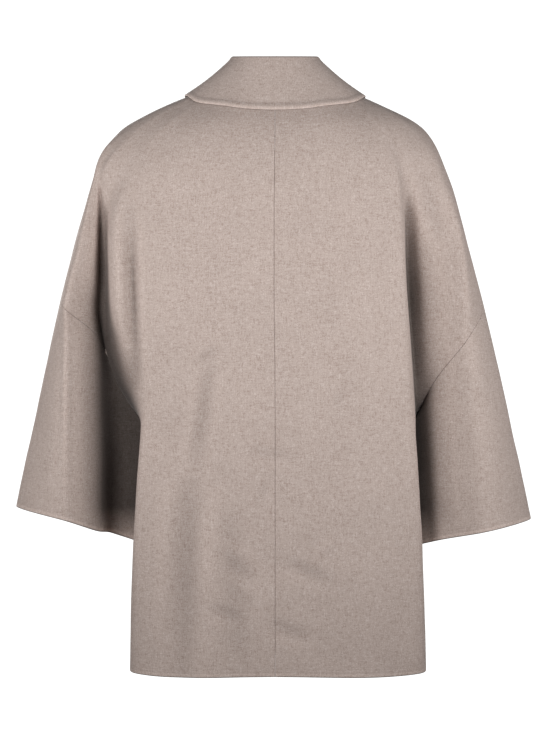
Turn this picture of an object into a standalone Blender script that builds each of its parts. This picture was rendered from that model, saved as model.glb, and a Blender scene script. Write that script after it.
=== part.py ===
"""Short cape coat in double-faced wool, hollow, in the form it has when it is worn.

Metres, +Z up. The origin is at the height of the centre-back neck seam, on the middle of the neck. The back of
the coat faces +Y, its front -Y, and the wearer's left is +X. The tables are in millimetres, as a cutter would
write them. The coat is one skin of named lines that run down from the neck seam: their table rows are the
sections. Each cut piece is a wall on its share of that skin.
"""

import math

import bmesh
import bpy
import numpy as np

MM = 0.001

# Cloth
WALL = 2.6                # thickness of the double-faced wool
UNDERARM_WALL = 1.4       # and where the seams are pressed thin, right in the underarm
UNDERARM_REACH = 20.0     # how far from the underarm point the wall is back at its thickness
SEAM_GAP = 0.36           # clearance between two pieces where they are sewn
LAP_LIFT = 3.3            # how far the upper front lies above the lower one where they lap
LAP_EASE = 0.45           # share of that lift one line further out, where the upper front comes down again

# Neck seam, an oval: half width, depth to the back and to the front, and heights round it
NECK_HALF_WIDTH = 80.0
NECK_BACK = 62.0
NECK_FRONT = 75.0
NECK_SIDE_RISE = 8.0
NECK_FRONT_DROP = 70.0
NECK_FRONT_POWER = 0.9    # how evenly the neck seam falls to the front: 1 is a plain cosine

# Collar
ROLL_HALF_WIDTH = 55.0
ROLL_BACK = 48.0
ROLL_FRONT = 84.0
ROLL_HEIGHT = 49.0
ROLL_BACK_HEIGHT = 43.0
ROLL_FRONT_HEIGHT = -54.0
ROLL_RADIUS = 4.0
ROLL_SINK_POWER = 1.5     # how late the roll sinks on its way to the front
ROLL_NARROWING = 0.15     # share by which it comes in there
PROBE = 0.01              # step down the coat, as a share, that gives its slope at a point
FOOT_RISE = 1.6           # how far the collar's foot stands above the neck seam's cut edge
FALL_LIFT_BACK = 2.4      # how far the fall stands off the coat under it
FALL_LIFT_FRONT = 7.0
COLLAR_END_ANGLE = 176.0
POINT_ANGLE = 163.0
LIFT_FROM_ANGLE = 60.0    # between these angles the fall's stand-off grows from back to front
LIFT_TO_ANGLE = 160.0

# Underarm and lower ends
UNDERARM_HEIGHT = -430.0
HEM = {
    "centre_back": -752.0,
    "blade": -754.0,
    "yoke": -756.0,
    "edge": -755.0,
    "valley": -753.0,
    "front_edge": -754.0,
    "chest": -755.0,
    "centre_front": -754.0,
}
FULLNESS = 2.4            # how square the body's section is between its middle and its side folds
BLADE_SHARE = 0.48        # where the lines between the middle and the side fold run, as shares of the way
YOKE_SHARE = 0.80
CHEST_SHARE = 0.50
EVEN_SHARE = 0.13         # share of the way to the underarm from where they run there

# Where the collar's lower edge lies, as a share of the way down the coat to the underarm
FALL = (
    # degrees from centre back, share
    (0, 0.062),
    (50, 0.055),
    (90, 0.035),
    (180, 0.130),
)

# How finely the skin is divided
FAN_ROWS = 17
BODY_ROWS = 10
SLEEVE_ROWS = 9
BODY_ROWS_GATHER = 1.4     # how much closer the rows lie at the underarm than at the hem
SLEEVE_ROWS_GATHER = 1.25
COLLAR_BACK_COLUMNS = 9
COLLAR_FRONT_COLUMNS = 10
COLLAR_STAND_STEPS = 2
COLLAR_ROLL_STEPS = 3
COLLAR_FALL_STEPS = 3
NORMAL_PASSES = 3
MITRE_LIMIT = 0.6         # keeps the corner of two seams from being pulled in too far
SHARP_ANGLE = 50.0        # edges of the cloth that are shaded sharp, in degrees

# The lines down from the neck seam, in order from centre back round to centre front: where each starts on the
# neck oval, in degrees from centre back, how high it ends at the armhole seam, and into how many strips the
# stretch to the next line is divided.
LINES = (
    # name, start angle, end height, strips to the next
    ("centre_back", 0.0, -424.0, 3),
    ("blade", 26.0, -425.0, 3),
    ("yoke", 43.0, -428.0, 3),
    ("edge", 53.0, -431.0, 3),
    ("valley", 61.0, UNDERARM_HEIGHT, 2),
    ("inner", 65.0, None, 2),
    ("lip", 69.0, None, 3),
    ("ridge", 77.0, None, 4),
    ("over", 90.0, None, 4),
    ("front_ridge", 103.0, -310.0, 3),
    ("front_lip", 110.0, -385.0, 3),
    ("front_valley", 117.5, UNDERARM_HEIGHT, 3),
    ("front_edge", 129.0, -431.0, 3),
    ("chest", 150.0, -430.0, 3),
    ("centre_front", 180.0, -429.0, 0),
)
NAMES = [line[0] for line in LINES]

# Share of the way from neck to underarm, and the depth of the middle lines there
CENTRES = (
    # share, back, front
    (0.00, 62, -75),
    (0.05, 75, -86),
    (0.13, 87, -98),
    (0.27, 98, -110),
    (0.45, 106, -119),
    (0.62, 111, -124),
    (0.78, 114, -127),
    (1.00, 117, -129),
)

# The outline over the shoulder and down the overarm
OVERARM = (
    # height, left, right, depth
    (8, 80, 80, 0),
    (-4, 118, 117, 0),
    (-14, 141, 139, 0),
    (-25, 165, 163, 0),
    (-36, 187, 184, 0),
    (-46, 203, 197, -1),
    (-66, 219, 211, -2),
    (-86, 230, 220, -3),
    (-125, 244, 235, -5),
    (-205, 267, 257, -9),
    (-284, 287, 279, -12),
    (-541, 346, 339, -26),
    (-620, 364, 357, -30),
)

# Back half of the upper coat, one table a side: the side fold of the body, the valley beside it, and the
# sleeve's lip and ridge
BACK_LEFT = (
    # share, edge x, edge y, valley x, valley y, lip x, lip y, ridge x, ridge y
    (0.05, 94, 52, 103, 45, 111, 36, 117, 25),
    (0.13, 132, 65, 148, 56, 160, 45, 170, 31),
    (0.27, 172, 75, 200, 58, 212, 45, 217, 30),
    (0.45, 199, 73, 222, 36, 235, 46, 241, 34),
    (0.62, 200, 72, 221, 26, 238, 48, 253, 38),
    (0.78, 184, 72, 210, 20, 240, 50, 260, 42),
    (0.90, 173, 73, 196, 15, 241, 49, 265, 44),
    (0.97, 173, 72, 182, 8, 241, 48, 267, 44),
    (1.00, 174, 71, 175, 0, 241, 47, 268, 44),
)
BACK_RIGHT = (
    (0.05, 94, 52, 103, 45, 111, 36, 117, 25),
    (0.13, 129, 66, 144, 57, 156, 46, 168, 31),
    (0.27, 160, 77, 178, 63, 196, 52, 209, 33),
    (0.45, 169, 80, 185, 48, 206, 51, 229, 40),
    (0.62, 171, 79, 188, 36, 212, 48, 243, 46),
    (0.78, 174, 77, 190, 28, 214, 44, 248, 50),
    (0.90, 178, 75, 189, 18, 215, 42, 249, 52),
    (0.97, 181, 74, 186, 9, 215, 41, 248, 52),
    (1.00, 182, 73, 184, 0, 215, 40, 248, 52),
)
# Heights where the sleeve's lines meet the slanting seam
SEAM_HEIGHTS = {
    "left": {"lip": -316.0, "ridge": -285.0, "over": -270.0},
    "right": {"lip": -378.0, "ridge": -327.0, "over": -281.0},
}
UNDERARM_X = {"left": 175.0, "right": 184.0}
# How far the inner line has come from the valley to the lip, across and in depth: small in depth is a sharp lip
INNER_SHARE = {"left": (0.66, 0.25), "right": (0.5, 0.6)}

# Front half of the upper coat, the same on both sides
FRONT = (
    # share, ridge x, ridge y, lip x, lip y, valley x, valley y, edge x, edge y, chest x
    (0.05, 117, -22, 111, -34, 103, -45, 90, -60, 50),
    (0.13, 169, -28, 158, -45, 146, -57, 124, -75, 62),
    (0.27, 212, -34, 197, -55, 178, -66, 152, -86, 76),
    (0.45, 233, -44, 212, -62, 188, -58, 161, -89, 84),
    (0.62, 248, -52, 220, -66, 190, -50, 167, -89, 86),
    (0.78, 257, -58, 222, -66, 190, -40, 171, -87, 86),
    (0.90, 262, -61, 223, -64, 188, -27, 175, -85, 87),
    (0.97, 264, -62, 222, -62, 183, -12, 177, -84, 88),
    (1.00, 265, -62, 222, -60, 180, 0, 178, -83, 88),
)

# Body below the underarm, one table a side: back fold, side seam, front fold, by share of the way to the hem
BODY_LEFT = (
    # share, back, edge x, edge y, side x, side y, front edge x, front edge y, front
    (0.04, 117, 175, 71, 166, -3, 177, -83, -129),
    (0.15, 117, 178, 70, 162, -4, 179, -81, -130),
    (0.35, 118, 183, 66, 165, -4, 182, -77, -132),
    (0.50, 119, 186, 62, 172, -3, 184, -74, -133),
    (0.70, 120, 188, 55, 184, -2, 186, -69, -134),
    (1.00, 121, 189, 44, 190, 0, 188, -60, -137),
)
BODY_RIGHT = (
    (0.04, 117, 183, 73, 173, -3, 183, -83, -129),
    (0.15, 117, 186, 71, 169, -4, 186, -81, -130),
    (0.35, 118, 190, 67, 173, -4, 187, -77, -132),
    (0.50, 119, 193, 63, 180, -3, 190, -74, -133),
    (0.70, 120, 195, 56, 191, -2, 193, -69, -134),
    (1.00, 121, 197, 46, 198, 0, 195, -60, -137),
)

# Lower sleeves, one table a side, by share of the way from the slanting seam to the cuff. The overarm's own
# outline is in OVERARM.
SLEEVE_LEFT = (
    # share, under x, under y, lip x, lip y, ridge x, ridge y, front ridge x, front ridge y, front lip x, y
    (0.12, 179, -7, 240, 47, 271, 46, 268, -66, 220, -64),
    (0.35, 179, -11, 238, 47, 275, 51, 275, -74, 222, -70),
    (0.65, 180, -15, 234, 46, 277, 57, 284, -84, 224, -78),
    (1.00, 183, -20, 234, 45, 279, 60, 292, -92, 226, -84),
)
SLEEVE_RIGHT = (
    (0.12, 189, -7, 217, 41, 252, 54, 266, -66, 222, -64),
    (0.35, 188, -11, 219, 42, 258, 57, 272, -74, 223, -70),
    (0.65, 189, -15, 220, 38, 264, 60, 280, -84, 223, -78),
    (1.00, 191, -20, 222, 36, 270, 60, 286, -92, 225, -84),
)
# Heights of the lines at the cuff
CUFF = {
    "left": {"under": -593, "lip": -576, "ridge": -559, "over": -545, "front_ridge": -557, "front_lip": -583},
    "right": {"under": -594, "lip": -585, "ridge": -575, "over": -561, "front_ridge": -567, "front_lip": -586},
}

# The largest soft folds of the back: a trough runs from one end to the other, deepest in its middle
FOLD_END_POWER = 0.6      # how blunt a trough's ends are: 1 is a plain sine
FOLD_FADE = 40.0          # folds fade out over this depth where the coat turns from back to front
BACK_FOLDS = (
    # from x, from z, to x, to z, half width, depth
    (194, -150, 184, -400, 12, 9.0),
    (90, -330, 134, -742, 30, 5.0),
    (-176, -92, -212, -200, 16, -2.5),
    (60, -590, -62, -640, 16, 2.5),
)
# Like ones on the front, which the photograph doesn't show
FRONT_FOLDS = (
    (-150, -120, -128, -420, 22, 4.0),
    (146, -150, 120, -470, 24, 4.0),
    (-96, -430, -140, -740, 28, 4.5),
    (100, -500, 138, -745, 26, 4.0),
)

TAUPE = (0.45, 0.375, 0.33, 1.0)
CLOTH_ROUGHNESS = 0.85


def smooth_through(knots, values, at):
    """Values read at places between the knots: a smooth curve that never swings past a neighbouring value."""
    knots = np.asarray(knots, float)
    values = np.asarray(values, float).reshape(len(knots), -1)
    step = np.diff(knots)[:, None]
    slope = np.diff(values, axis=0) / step
    tangent = np.zeros_like(values)
    before, after = slope[:-1], slope[1:]
    w_before = step[:-1] + 2 * step[1:]
    w_after = 2 * step[:-1] + step[1:]
    same_way = before * after > 0
    with np.errstate(divide="ignore", invalid="ignore"):
        mean = (w_before + w_after) / (w_before / after + w_after / before)
    tangent[1:-1] = np.where(same_way, mean, 0.0)
    tangent[0] = slope[0]
    tangent[-1] = slope[-1]
    at = np.clip(np.atleast_1d(np.asarray(at, float)), knots[0], knots[-1])
    i = np.clip(np.searchsorted(knots, at, side="right") - 1, 0, len(knots) - 2)
    h = (knots[i + 1] - knots[i])[:, None]
    t = (at - knots[i])[:, None] / h
    start = (1 + 2 * t) * (1 - t) ** 2 * values[i] + t * (1 - t) ** 2 * h * tangent[i]
    end = t * t * (3 - 2 * t) * values[i + 1] - t * t * (1 - t) * h * tangent[i + 1]
    return start + end


def table_row(table, at):
    """The row of a table at a place between its rows, without the first column."""
    table = np.asarray(table, float)
    return smooth_through(table[:, 0], table[:, 1:], at)[0]


def neck_point(angle):
    """A point of the neck seam, the angle in degrees from centre back round to centre front."""
    turn = math.radians(angle)
    across = math.sin(turn)
    along = math.cos(turn)
    x = NECK_HALF_WIDTH * across
    if along >= 0:
        return np.array((x, NECK_BACK * along, NECK_SIDE_RISE * across * across))
    drop = (1 - across) ** NECK_FRONT_POWER
    return np.array((x, NECK_FRONT * along, NECK_SIDE_RISE - (NECK_SIDE_RISE + NECK_FRONT_DROP) * drop))


def overarm_point(side, height):
    """The outline's point at a height."""
    left, right, depth = table_row(OVERARM[::-1], height)
    return np.array((left if side == "left" else right, depth, height))


def rounded(middle, fold_x, fold_y, x):
    """Depth at x on the round between the middle of the body and its side fold."""
    return fold_y + (middle - fold_y) * (1 - (x / fold_x) ** FULLNESS)


def end_heights(side):
    """How high each line ends at the armhole seam."""
    ends = {name: end for name, _, end, _ in LINES}
    ends.update(SEAM_HEIGHTS[side])
    ends["inner"] = UNDERARM_HEIGHT + INNER_SHARE[side][0] * (ends["lip"] - UNDERARM_HEIGHT)
    return ends


def fan_lines(side, share):
    """The points where a section of the upper coat crosses its lines, share 0 at the neck, 1 at the underarm."""
    neck = {name: neck_point(angle) for name, angle, _, _ in LINES}
    ends = end_heights(side)
    height = {name: neck[name][2] + share * (ends[name] - neck[name][2]) for name in NAMES}
    if share <= 0:
        return [neck[name] for name in NAMES]
    back_table = BACK_LEFT if side == "left" else BACK_RIGHT
    at_neck = [c for name in ("edge", "valley", "lip", "ridge") for c in neck[name][:2]]
    edge_x, edge_y, valley_x, valley_y, lip_x, lip_y, ridge_x, ridge_y = table_row(
        ((0.0, *at_neck), *back_table), share
    )
    front_names = ("front_ridge", "front_lip", "front_valley", "front_edge")
    at_neck = [c for name in front_names for c in neck[name][:2]]
    f_ridge_x, f_ridge_y, f_lip_x, f_lip_y, f_valley_x, f_valley_y, f_edge_x, f_edge_y, chest_x = table_row(
        ((0.0, *at_neck, neck["chest"][0]), *FRONT), share
    )
    f_valley_x += (UNDERARM_X[side] - FRONT[-1][5]) * share
    back_y, front_y = table_row(CENTRES, share)
    from_neck = min(1.0, share / EVEN_SHARE)
    blade_x = neck["blade"][0] * (1 - from_neck) + BLADE_SHARE * edge_x * from_neck
    yoke_x = neck["yoke"][0] * (1 - from_neck) + YOKE_SHARE * edge_x * from_neck
    across, deep = INNER_SHARE[side]
    flat = {
        "centre_back": (0.0, back_y),
        "blade": (blade_x, rounded(back_y, edge_x, edge_y, blade_x)),
        "yoke": (yoke_x, rounded(back_y, edge_x, edge_y, yoke_x)),
        "edge": (edge_x, edge_y),
        "valley": (valley_x, valley_y),
        "inner": (valley_x + across * (lip_x - valley_x), valley_y + deep * (lip_y - valley_y)),
        "lip": (lip_x, lip_y),
        "ridge": (ridge_x, ridge_y),
        "over": overarm_point(side, height["over"])[:2],
        "front_ridge": (f_ridge_x, f_ridge_y),
        "front_lip": (f_lip_x, f_lip_y),
        "front_valley": (f_valley_x, f_valley_y),
        "front_edge": (f_edge_x, f_edge_y),
        "chest": (chest_x, rounded(front_y, f_edge_x, f_edge_y, chest_x)),
        "centre_front": (0.0, front_y),
    }
    return [np.array((*flat[name], height[name])) for name in NAMES]


def body_lines(side, share):
    """The points where a section below the underarm crosses its lines, share 0 at the underarm, 1 at the hem."""
    top = dict(zip(NAMES, fan_lines(side, 1.0)))
    table = BODY_LEFT if side == "left" else BODY_RIGHT
    start = (
        0.0,
        top["centre_back"][1],
        *top["edge"][:2],
        *top["valley"][:2],
        *top["front_edge"][:2],
        top["centre_front"][1],
    )
    back_y, edge_x, edge_y, side_x, side_y, f_edge_x, f_edge_y, front_y = table_row((start, *table), share)
    blade_x = BLADE_SHARE * edge_x
    yoke_x = YOKE_SHARE * edge_x
    chest_x = CHEST_SHARE * f_edge_x
    flat = {
        "centre_back": (0.0, back_y),
        "blade": (blade_x, rounded(back_y, edge_x, edge_y, blade_x)),
        "yoke": (yoke_x, rounded(back_y, edge_x, edge_y, yoke_x)),
        "edge": (edge_x, edge_y),
        "valley": (side_x, side_y),
        "front_edge": (f_edge_x, f_edge_y),
        "chest": (chest_x, rounded(front_y, f_edge_x, f_edge_y, chest_x)),
        "centre_front": (0.0, front_y),
    }
    return [
        np.array((*point, top[name][2] + share * (HEM[name] - top[name][2])))
        for name, point in flat.items()
    ]


def sleeve_lines(side, share):
    """The points where a section of the lower sleeve crosses its lines, share 0 at its seam, 1 at the cuff."""
    top = dict(zip(NAMES, fan_lines(side, 1.0)))
    table = SLEEVE_LEFT if side == "left" else SLEEVE_RIGHT
    start = (
        0.0,
        *top["valley"][:2],
        *top["lip"][:2],
        *top["ridge"][:2],
        *top["front_ridge"][:2],
        *top["front_lip"][:2],
    )
    under_x, under_y, lip_x, lip_y, ridge_x, ridge_y, f_ridge_x, f_ridge_y, f_lip_x, f_lip_y = table_row(
        (start, *table), share
    )
    cuff = CUFF[side]
    heights = {
        name: top[line][2] + share * (cuff[name] - top[line][2])
        for name, line in (
            ("under", "valley"),
            ("lip", "lip"),
            ("ridge", "ridge"),
            ("over", "over"),
            ("front_ridge", "front_ridge"),
            ("front_lip", "front_lip"),
        )
    }
    under = np.array((under_x, under_y, heights["under"]))
    lip = np.array((lip_x, lip_y, heights["lip"]))
    across, deep = INNER_SHARE[side]
    inner = under + np.array((across, deep, across)) * (lip - under)
    return [
        under,
        inner,
        lip,
        np.array((ridge_x, ridge_y, heights["ridge"])),
        overarm_point(side, heights["over"]),
        np.array((f_ridge_x, f_ridge_y, heights["front_ridge"])),
        np.array((f_lip_x, f_lip_y, heights["front_lip"])),
        under,
    ]


def through_lines(points, strips, before, after):
    """A section as a smooth row of points, given where it crosses its lines and the points beyond its ends."""
    points = np.array([before, *points, after])
    length = np.concatenate([[0.0], np.cumsum(np.linalg.norm(np.diff(points, axis=0), axis=1))])
    places = [length[1]]
    for i, count in enumerate(strips):
        low, high = length[i + 1], length[i + 2]
        places += [low + (high - low) * (j + 1) / count for j in range(count)]
    return smooth_through(length, points, places)


def mirrored(point):
    return point * np.array((-1.0, 1.0, 1.0))


def fan_section(side, share):
    lines = fan_lines(side, share)
    strips = [line[3] for line in LINES[:-1]]
    return through_lines(lines, strips, mirrored(lines[1]), mirrored(lines[-2]))


def body_section(side, share):
    lines = body_lines(side, share)
    counts = dict((line[0], line[3]) for line in LINES)
    strips = [counts[name] for name in ("centre_back", "blade", "yoke", "edge")]
    strips += [counts[name] for name in ("front_valley", "front_edge", "chest")]
    return through_lines(lines, strips, mirrored(lines[1]), mirrored(lines[-2]))


def sleeve_section(side, share):
    lines = sleeve_lines(side, share)
    first, last = NAMES.index("valley"), NAMES.index("front_valley")
    strips = [line[3] for line in LINES[first:last]]
    return through_lines(lines, strips, lines[-2], lines[1])


def fold_depth(x, z, folds):
    """How deep the soft folds are at a point, in millimetres."""
    depth = 0.0
    for x0, z0, x1, z1, half_width, most in folds:
        run = math.hypot(x1 - x0, z1 - z0)
        along = ((x - x0) * (x1 - x0) + (z - z0) * (z1 - z0)) / run
        aside = abs((x - x0) * (z1 - z0) - (z - z0) * (x1 - x0)) / run
        end = math.sin(math.pi * min(max(along / run, 0.0), 1.0)) ** FOLD_END_POWER
        depth += most * end * math.exp(-((aside / half_width) ** 2))
    return depth


def folded(point):
    """A point of the skin with the soft folds pressed into it."""
    x, y, z = point
    if y > 0:
        return np.array((x, y - fold_depth(x, z, BACK_FOLDS) * min(1.0, y / FOLD_FADE), z))
    return np.array((x, y + fold_depth(x, z, FRONT_FOLDS) * min(1.0, -y / FOLD_FADE), z))


def line_column(name):
    """The column of the fan that runs down a line."""
    return sum(line[3] for line in LINES[: NAMES.index(name)])


class Skin:
    """The outer face of the whole coat: points, and quads that share them, so that seams have one normal."""

    def __init__(self):
        self.points = []
        self.quads = {}
        centre_back = [[], []]
        centre_front = [[], []]
        self.rows = {}
        for side in ("left", "right"):
            self.add_side(side, centre_back, centre_front)
        self.points = np.array(self.points)
        self.normals = self.point_normals()
        self.walls = self.wall_thickness()

    def add(self, point):
        self.points.append(folded(point))
        return len(self.points) - 1

    def add_row(self, side, section, kept):
        """Adds a section's points, apart from those that another row or side already has."""
        flip = 1.0 if side == "left" else -1.0
        row = []
        for column, point in enumerate(section):
            if column in kept:
                row.append(kept[column])
            else:
                row.append(self.add(point * np.array((flip, 1.0, 1.0))))
        return row

    def add_side(self, side, backs, fronts):
        left = side == "left"
        last = line_column("centre_front")
        valley, front_valley = line_column("valley"), line_column("front_valley")
        fan = []
        for k in range(FAN_ROWS + 1):
            even = k / FAN_ROWS
            share = even / 2 + (1 - math.cos(math.pi * even)) / 4
            kept = {} if left else {0: backs[0][k], last: fronts[0][k]}
            if k == FAN_ROWS:
                kept[front_valley] = None
            row = self.add_row(side, fan_section(side, share), kept)
            if k == FAN_ROWS:
                row[front_valley] = row[valley]
            fan.append(row)
        body = [fan[-1][: valley + 1] + fan[-1][front_valley + 1 :]]
        end = len(body[0]) - 1
        for k in range(1, BODY_ROWS + 1):
            kept = {} if left else {0: backs[1][k], end: fronts[1][k]}
            share = (k / BODY_ROWS) ** BODY_ROWS_GATHER
            body.append(self.add_row(side, body_section(side, share), kept))
        sleeve = [fan[-1][valley : front_valley + 1]]
        for k in range(1, SLEEVE_ROWS + 1):
            share = (k / SLEEVE_ROWS) ** SLEEVE_ROWS_GATHER
            row = self.add_row(side, sleeve_section(side, share)[:-1], {})
            sleeve.append(row + [row[0]])
        if left:
            backs[0], fronts[0] = [r[0] for r in fan], [r[-1] for r in fan]
            backs[1], fronts[1] = [r[0] for r in body], [r[-1] for r in body]
        self.rows[side] = {"fan": fan, "body": body, "sleeve": sleeve}
        over = line_column("over")
        self.take(side, "back", fan, 0, over)
        self.take(side, "front", fan, over, last)
        self.take(side, "back", body, 0, valley)
        self.take(side, "front", body, valley, end)
        self.take(side, "sleeve", sleeve, 0, front_valley - valley)

    def take(self, side, piece, rows, first, last):
        """Gives a piece the quads of some rows between two columns, facing out."""
        quads = self.quads.setdefault(f"{piece}_{side}", [])
        for upper, lower in zip(rows, rows[1:]):
            for c in range(first, last):
                quad = [upper[c], upper[c + 1], lower[c + 1], lower[c]]
                quads.append(quad if side == "left" else quad[::-1])

    def point_normals(self):
        """One normal a point: the mean of the corners round it, each by its own angle."""
        normals = np.zeros_like(self.points)
        for quads in self.quads.values():
            for quad in quads:
                for k, i in enumerate(quad):
                    onward = self.points[quad[(k + 1) % 4]] - self.points[i]
                    back = self.points[quad[k - 1]] - self.points[i]
                    corner = np.cross(onward, back)
                    size = np.linalg.norm(corner)
                    angle = math.atan2(size, onward.dot(back))
                    normals[i] += corner / size * angle
        normals /= np.linalg.norm(normals, axis=1)[:, None]
        underarms = [self.rows[side]["sleeve"][0][0] for side in ("left", "right")]
        for _ in range(NORMAL_PASSES):
            normals = self.evened(normals)
            normals[underarms] = (0.0, 0.0, -1.0)
        return normals

    def wall_thickness(self):
        """The wall at each point."""
        walls = np.full(len(self.points), WALL)
        for side in ("left", "right"):
            underarm = self.points[self.rows[side]["sleeve"][0][0]]
            away = np.linalg.norm(self.points - underarm, axis=1) / UNDERARM_REACH
            walls -= (WALL - UNDERARM_WALL) * np.exp(-(away**4))
        return walls

    def evened(self, normals):
        """Each normal as the mean of those near it, so that the wall turns evenly round the tight underarm."""
        total = np.zeros_like(normals)
        for quads in self.quads.values():
            for quad in quads:
                total[quad] += normals[quad].sum(axis=0)
        return total / np.linalg.norm(total, axis=1)[:, None]


def edges_of(quad):
    return [(quad[i], quad[(i + 1) % len(quad)]) for i in range(len(quad))]


def seam_pull(skin, quads, sewn):
    """How far each point at a seam moves into its own piece, so that sewn pieces stand a little apart."""
    inward = {}
    for quad in quads:
        middle = sum(skin.points[i] for i in quad) / len(quad)
        for a, b in edges_of(quad):
            if frozenset((a, b)) not in sewn:
                continue
            along = skin.points[b] - skin.points[a]
            along /= np.linalg.norm(along)
            into = middle - skin.points[a]
            into -= along * into.dot(along)
            into /= np.linalg.norm(into)
            for i in (a, b):
                inward.setdefault(i, []).append(into)
    pull = {}
    for i, ways in inward.items():
        if len(ways) == 1:
            pull[i] = ways[0] * SEAM_GAP / 2
        else:
            total = ways[0] + ways[1]
            pull[i] = total / max(MITRE_LIMIT, 1 + ways[0].dot(ways[1])) * SEAM_GAP / 2
    return pull


def border_edges(quads):
    """The edges that only one quad of a piece has, in the way that its quads turn."""
    used = {}
    for quad in quads:
        for a, b in edges_of(quad):
            used.setdefault(frozenset((a, b)), []).append((a, b))
    return [ways[0] for ways in used.values() if len(ways) == 1]


def sewn_edges(pieces, name):
    """The border edges of a piece that another piece also has."""
    others = {
        frozenset(edge)
        for other, quads in pieces.items()
        if other != name
        for quad in quads
        for edge in edges_of(quad)
    }
    return {frozenset(edge) for edge in border_edges(pieces[name])} & others


def wall_object(name, skin, pieces, lift, material, collection):
    """A closed wall on a piece's share of the skin. The lift raises some points along the skin's normal."""
    quads = pieces[name]
    pull = seam_pull(skin, quads, sewn_edges(pieces, name))
    mesh = bmesh.new()
    outer, inner = {}, {}
    for i in sorted({i for quad in quads for i in quad}):
        place = skin.points[i] + pull.get(i, 0.0) + skin.normals[i] * lift.get(i, 0.0)
        outer[i] = mesh.verts.new(place * MM)
        inner[i] = mesh.verts.new((place - skin.normals[i] * skin.walls[i]) * MM)
    for quad in quads:
        mesh.faces.new([outer[i] for i in quad])
        mesh.faces.new([inner[i] for i in reversed(quad)])
    for a, b in border_edges(quads):
        # Both pieces at a seam split their rims the same way, so that they stay parallel.
        if a < b:
            mesh.faces.new((outer[b], outer[a], inner[a]))
            mesh.faces.new((outer[b], inner[a], inner[b]))
        else:
            mesh.faces.new((outer[b], outer[a], inner[b]))
            mesh.faces.new((outer[a], inner[a], inner[b]))
    return finish_object(name, mesh, material, collection)


def finish_object(name, mesh, material, collection):
    data = bpy.data.meshes.new(name)
    bmesh.ops.triangulate(mesh, faces=mesh.faces[:], quad_method="SHORT_EDGE")
    mesh.to_mesh(data)
    mesh.free()
    data.materials.append(material)
    data.shade_smooth()
    data.set_sharp_from_angle(angle=math.radians(SHARP_ANGLE))
    result = bpy.data.objects.new(name, data)
    collection.objects.link(result)
    return result


def front_lap(skin, pieces):
    """Runs each front past the middle by one strip, and lifts the right one over the left one."""
    lift = {}
    for part in ("fan", "body"):
        left, right = skin.rows["left"][part], skin.rows["right"][part]
        for upper, lower in zip(right, right[1:]):
            quad = [upper[-2], upper[-1], lower[-1], lower[-2]]
            pieces["front_left"].append(quad[::-1])
        for upper, lower in zip(left, left[1:]):
            quad = [upper[-2], upper[-1], lower[-1], lower[-2]]
            pieces["front_right"].append(quad)
        for row in left:
            lift[row[-2]] = LAP_LIFT
        for row in right:
            lift[row[-1]] = LAP_LIFT
            lift[row[-2]] = LAP_LIFT
            lift[row[-3]] = LAP_LIFT * LAP_EASE
    return lift


def fall_share(angle):
    """How far down the coat the collar's lower edge lies at an angle round the neck."""
    return table_row(FALL, angle)[0]


def roll_point(angle):
    """The middle of the collar's roll at an angle round the neck."""
    turn = math.radians(angle)
    x = ROLL_HALF_WIDTH * math.sin(turn)
    if angle <= 90:
        height = ROLL_HEIGHT + (ROLL_BACK_HEIGHT - ROLL_HEIGHT) * math.cos(turn)
        return np.array((x, ROLL_BACK * math.cos(turn), height))
    sunk = ((angle - 90) / 90) ** ROLL_SINK_POWER
    height = ROLL_HEIGHT + (ROLL_FRONT_HEIGHT - ROLL_HEIGHT) * sunk
    return np.array((x * (1 - ROLL_NARROWING * sunk), ROLL_FRONT * math.cos(turn), height))


def coat_frame(side, column_angle, share):
    """A point of the upper coat and its normal, the column given by its angle on the neck seam."""
    angles = [line[1] for line in LINES]
    columns = [line_column(name) for name in NAMES]
    column = np.interp(column_angle, angles, columns)
    low = min(int(column), columns[-1] - 1)

    def at(step, down):
        section = fan_section(side, min(max(share + down, 0.0), 1.0))
        place = min(max(column + step, 0.0), columns[-1])
        low_column = min(int(place), columns[-1] - 1)
        part = place - low_column
        return section[low_column] * (1 - part) + section[low_column + 1] * part

    point = at(0, 0)
    across = at(0.5, 0) - at(-0.5, 0)
    down = at(0, PROBE) - at(0, -PROBE if share > PROBE else 0.0)
    normal = np.cross(across, down)
    return point, normal / np.linalg.norm(normal)


def collar_path(side, angle):
    """The middle of the collar's wall at an angle round the neck, from the neck seam over the roll to its edge."""
    seam, seam_normal = coat_frame(side, angle, 0.0)
    below, _ = coat_frame(side, angle, PROBE)
    rise = (seam - below) / np.linalg.norm(seam - below)
    foot = seam - seam_normal * WALL / 2 + rise * FOOT_RISE
    roll = roll_point(angle)
    spread = max(0.0, angle - 90) / (COLLAR_END_ANGLE - 90)
    edge_angle = angle + (POINT_ANGLE - COLLAR_END_ANGLE) * spread**3
    edge, edge_normal = coat_frame(side, edge_angle, fall_share(edge_angle))
    lift = np.interp(angle, (LIFT_FROM_ANGLE, LIFT_TO_ANGLE), (FALL_LIFT_BACK, FALL_LIFT_FRONT))
    edge = edge + edge_normal * (lift + WALL / 2)
    up = np.array((0.0, 0.0, 1.0))
    out = edge - foot
    out[2] = 0.0
    out /= np.linalg.norm(out)
    stand_top = roll - out * ROLL_RADIUS - up * ROLL_RADIUS
    fall_top = roll + out * ROLL_RADIUS - up * ROLL_RADIUS
    path = [foot + (stand_top - foot) * i / COLLAR_STAND_STEPS for i in range(COLLAR_STAND_STEPS)]
    for i in range(COLLAR_ROLL_STEPS + 1):
        turn = math.pi * i / COLLAR_ROLL_STEPS
        path.append(roll - up * ROLL_RADIUS - out * ROLL_RADIUS * math.cos(turn) + up * ROLL_RADIUS * math.sin(turn))
    for i in range(1, COLLAR_FALL_STEPS + 1):
        path.append(fall_top + (edge - fall_top) * i / COLLAR_FALL_STEPS)
    return np.array(path)


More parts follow.
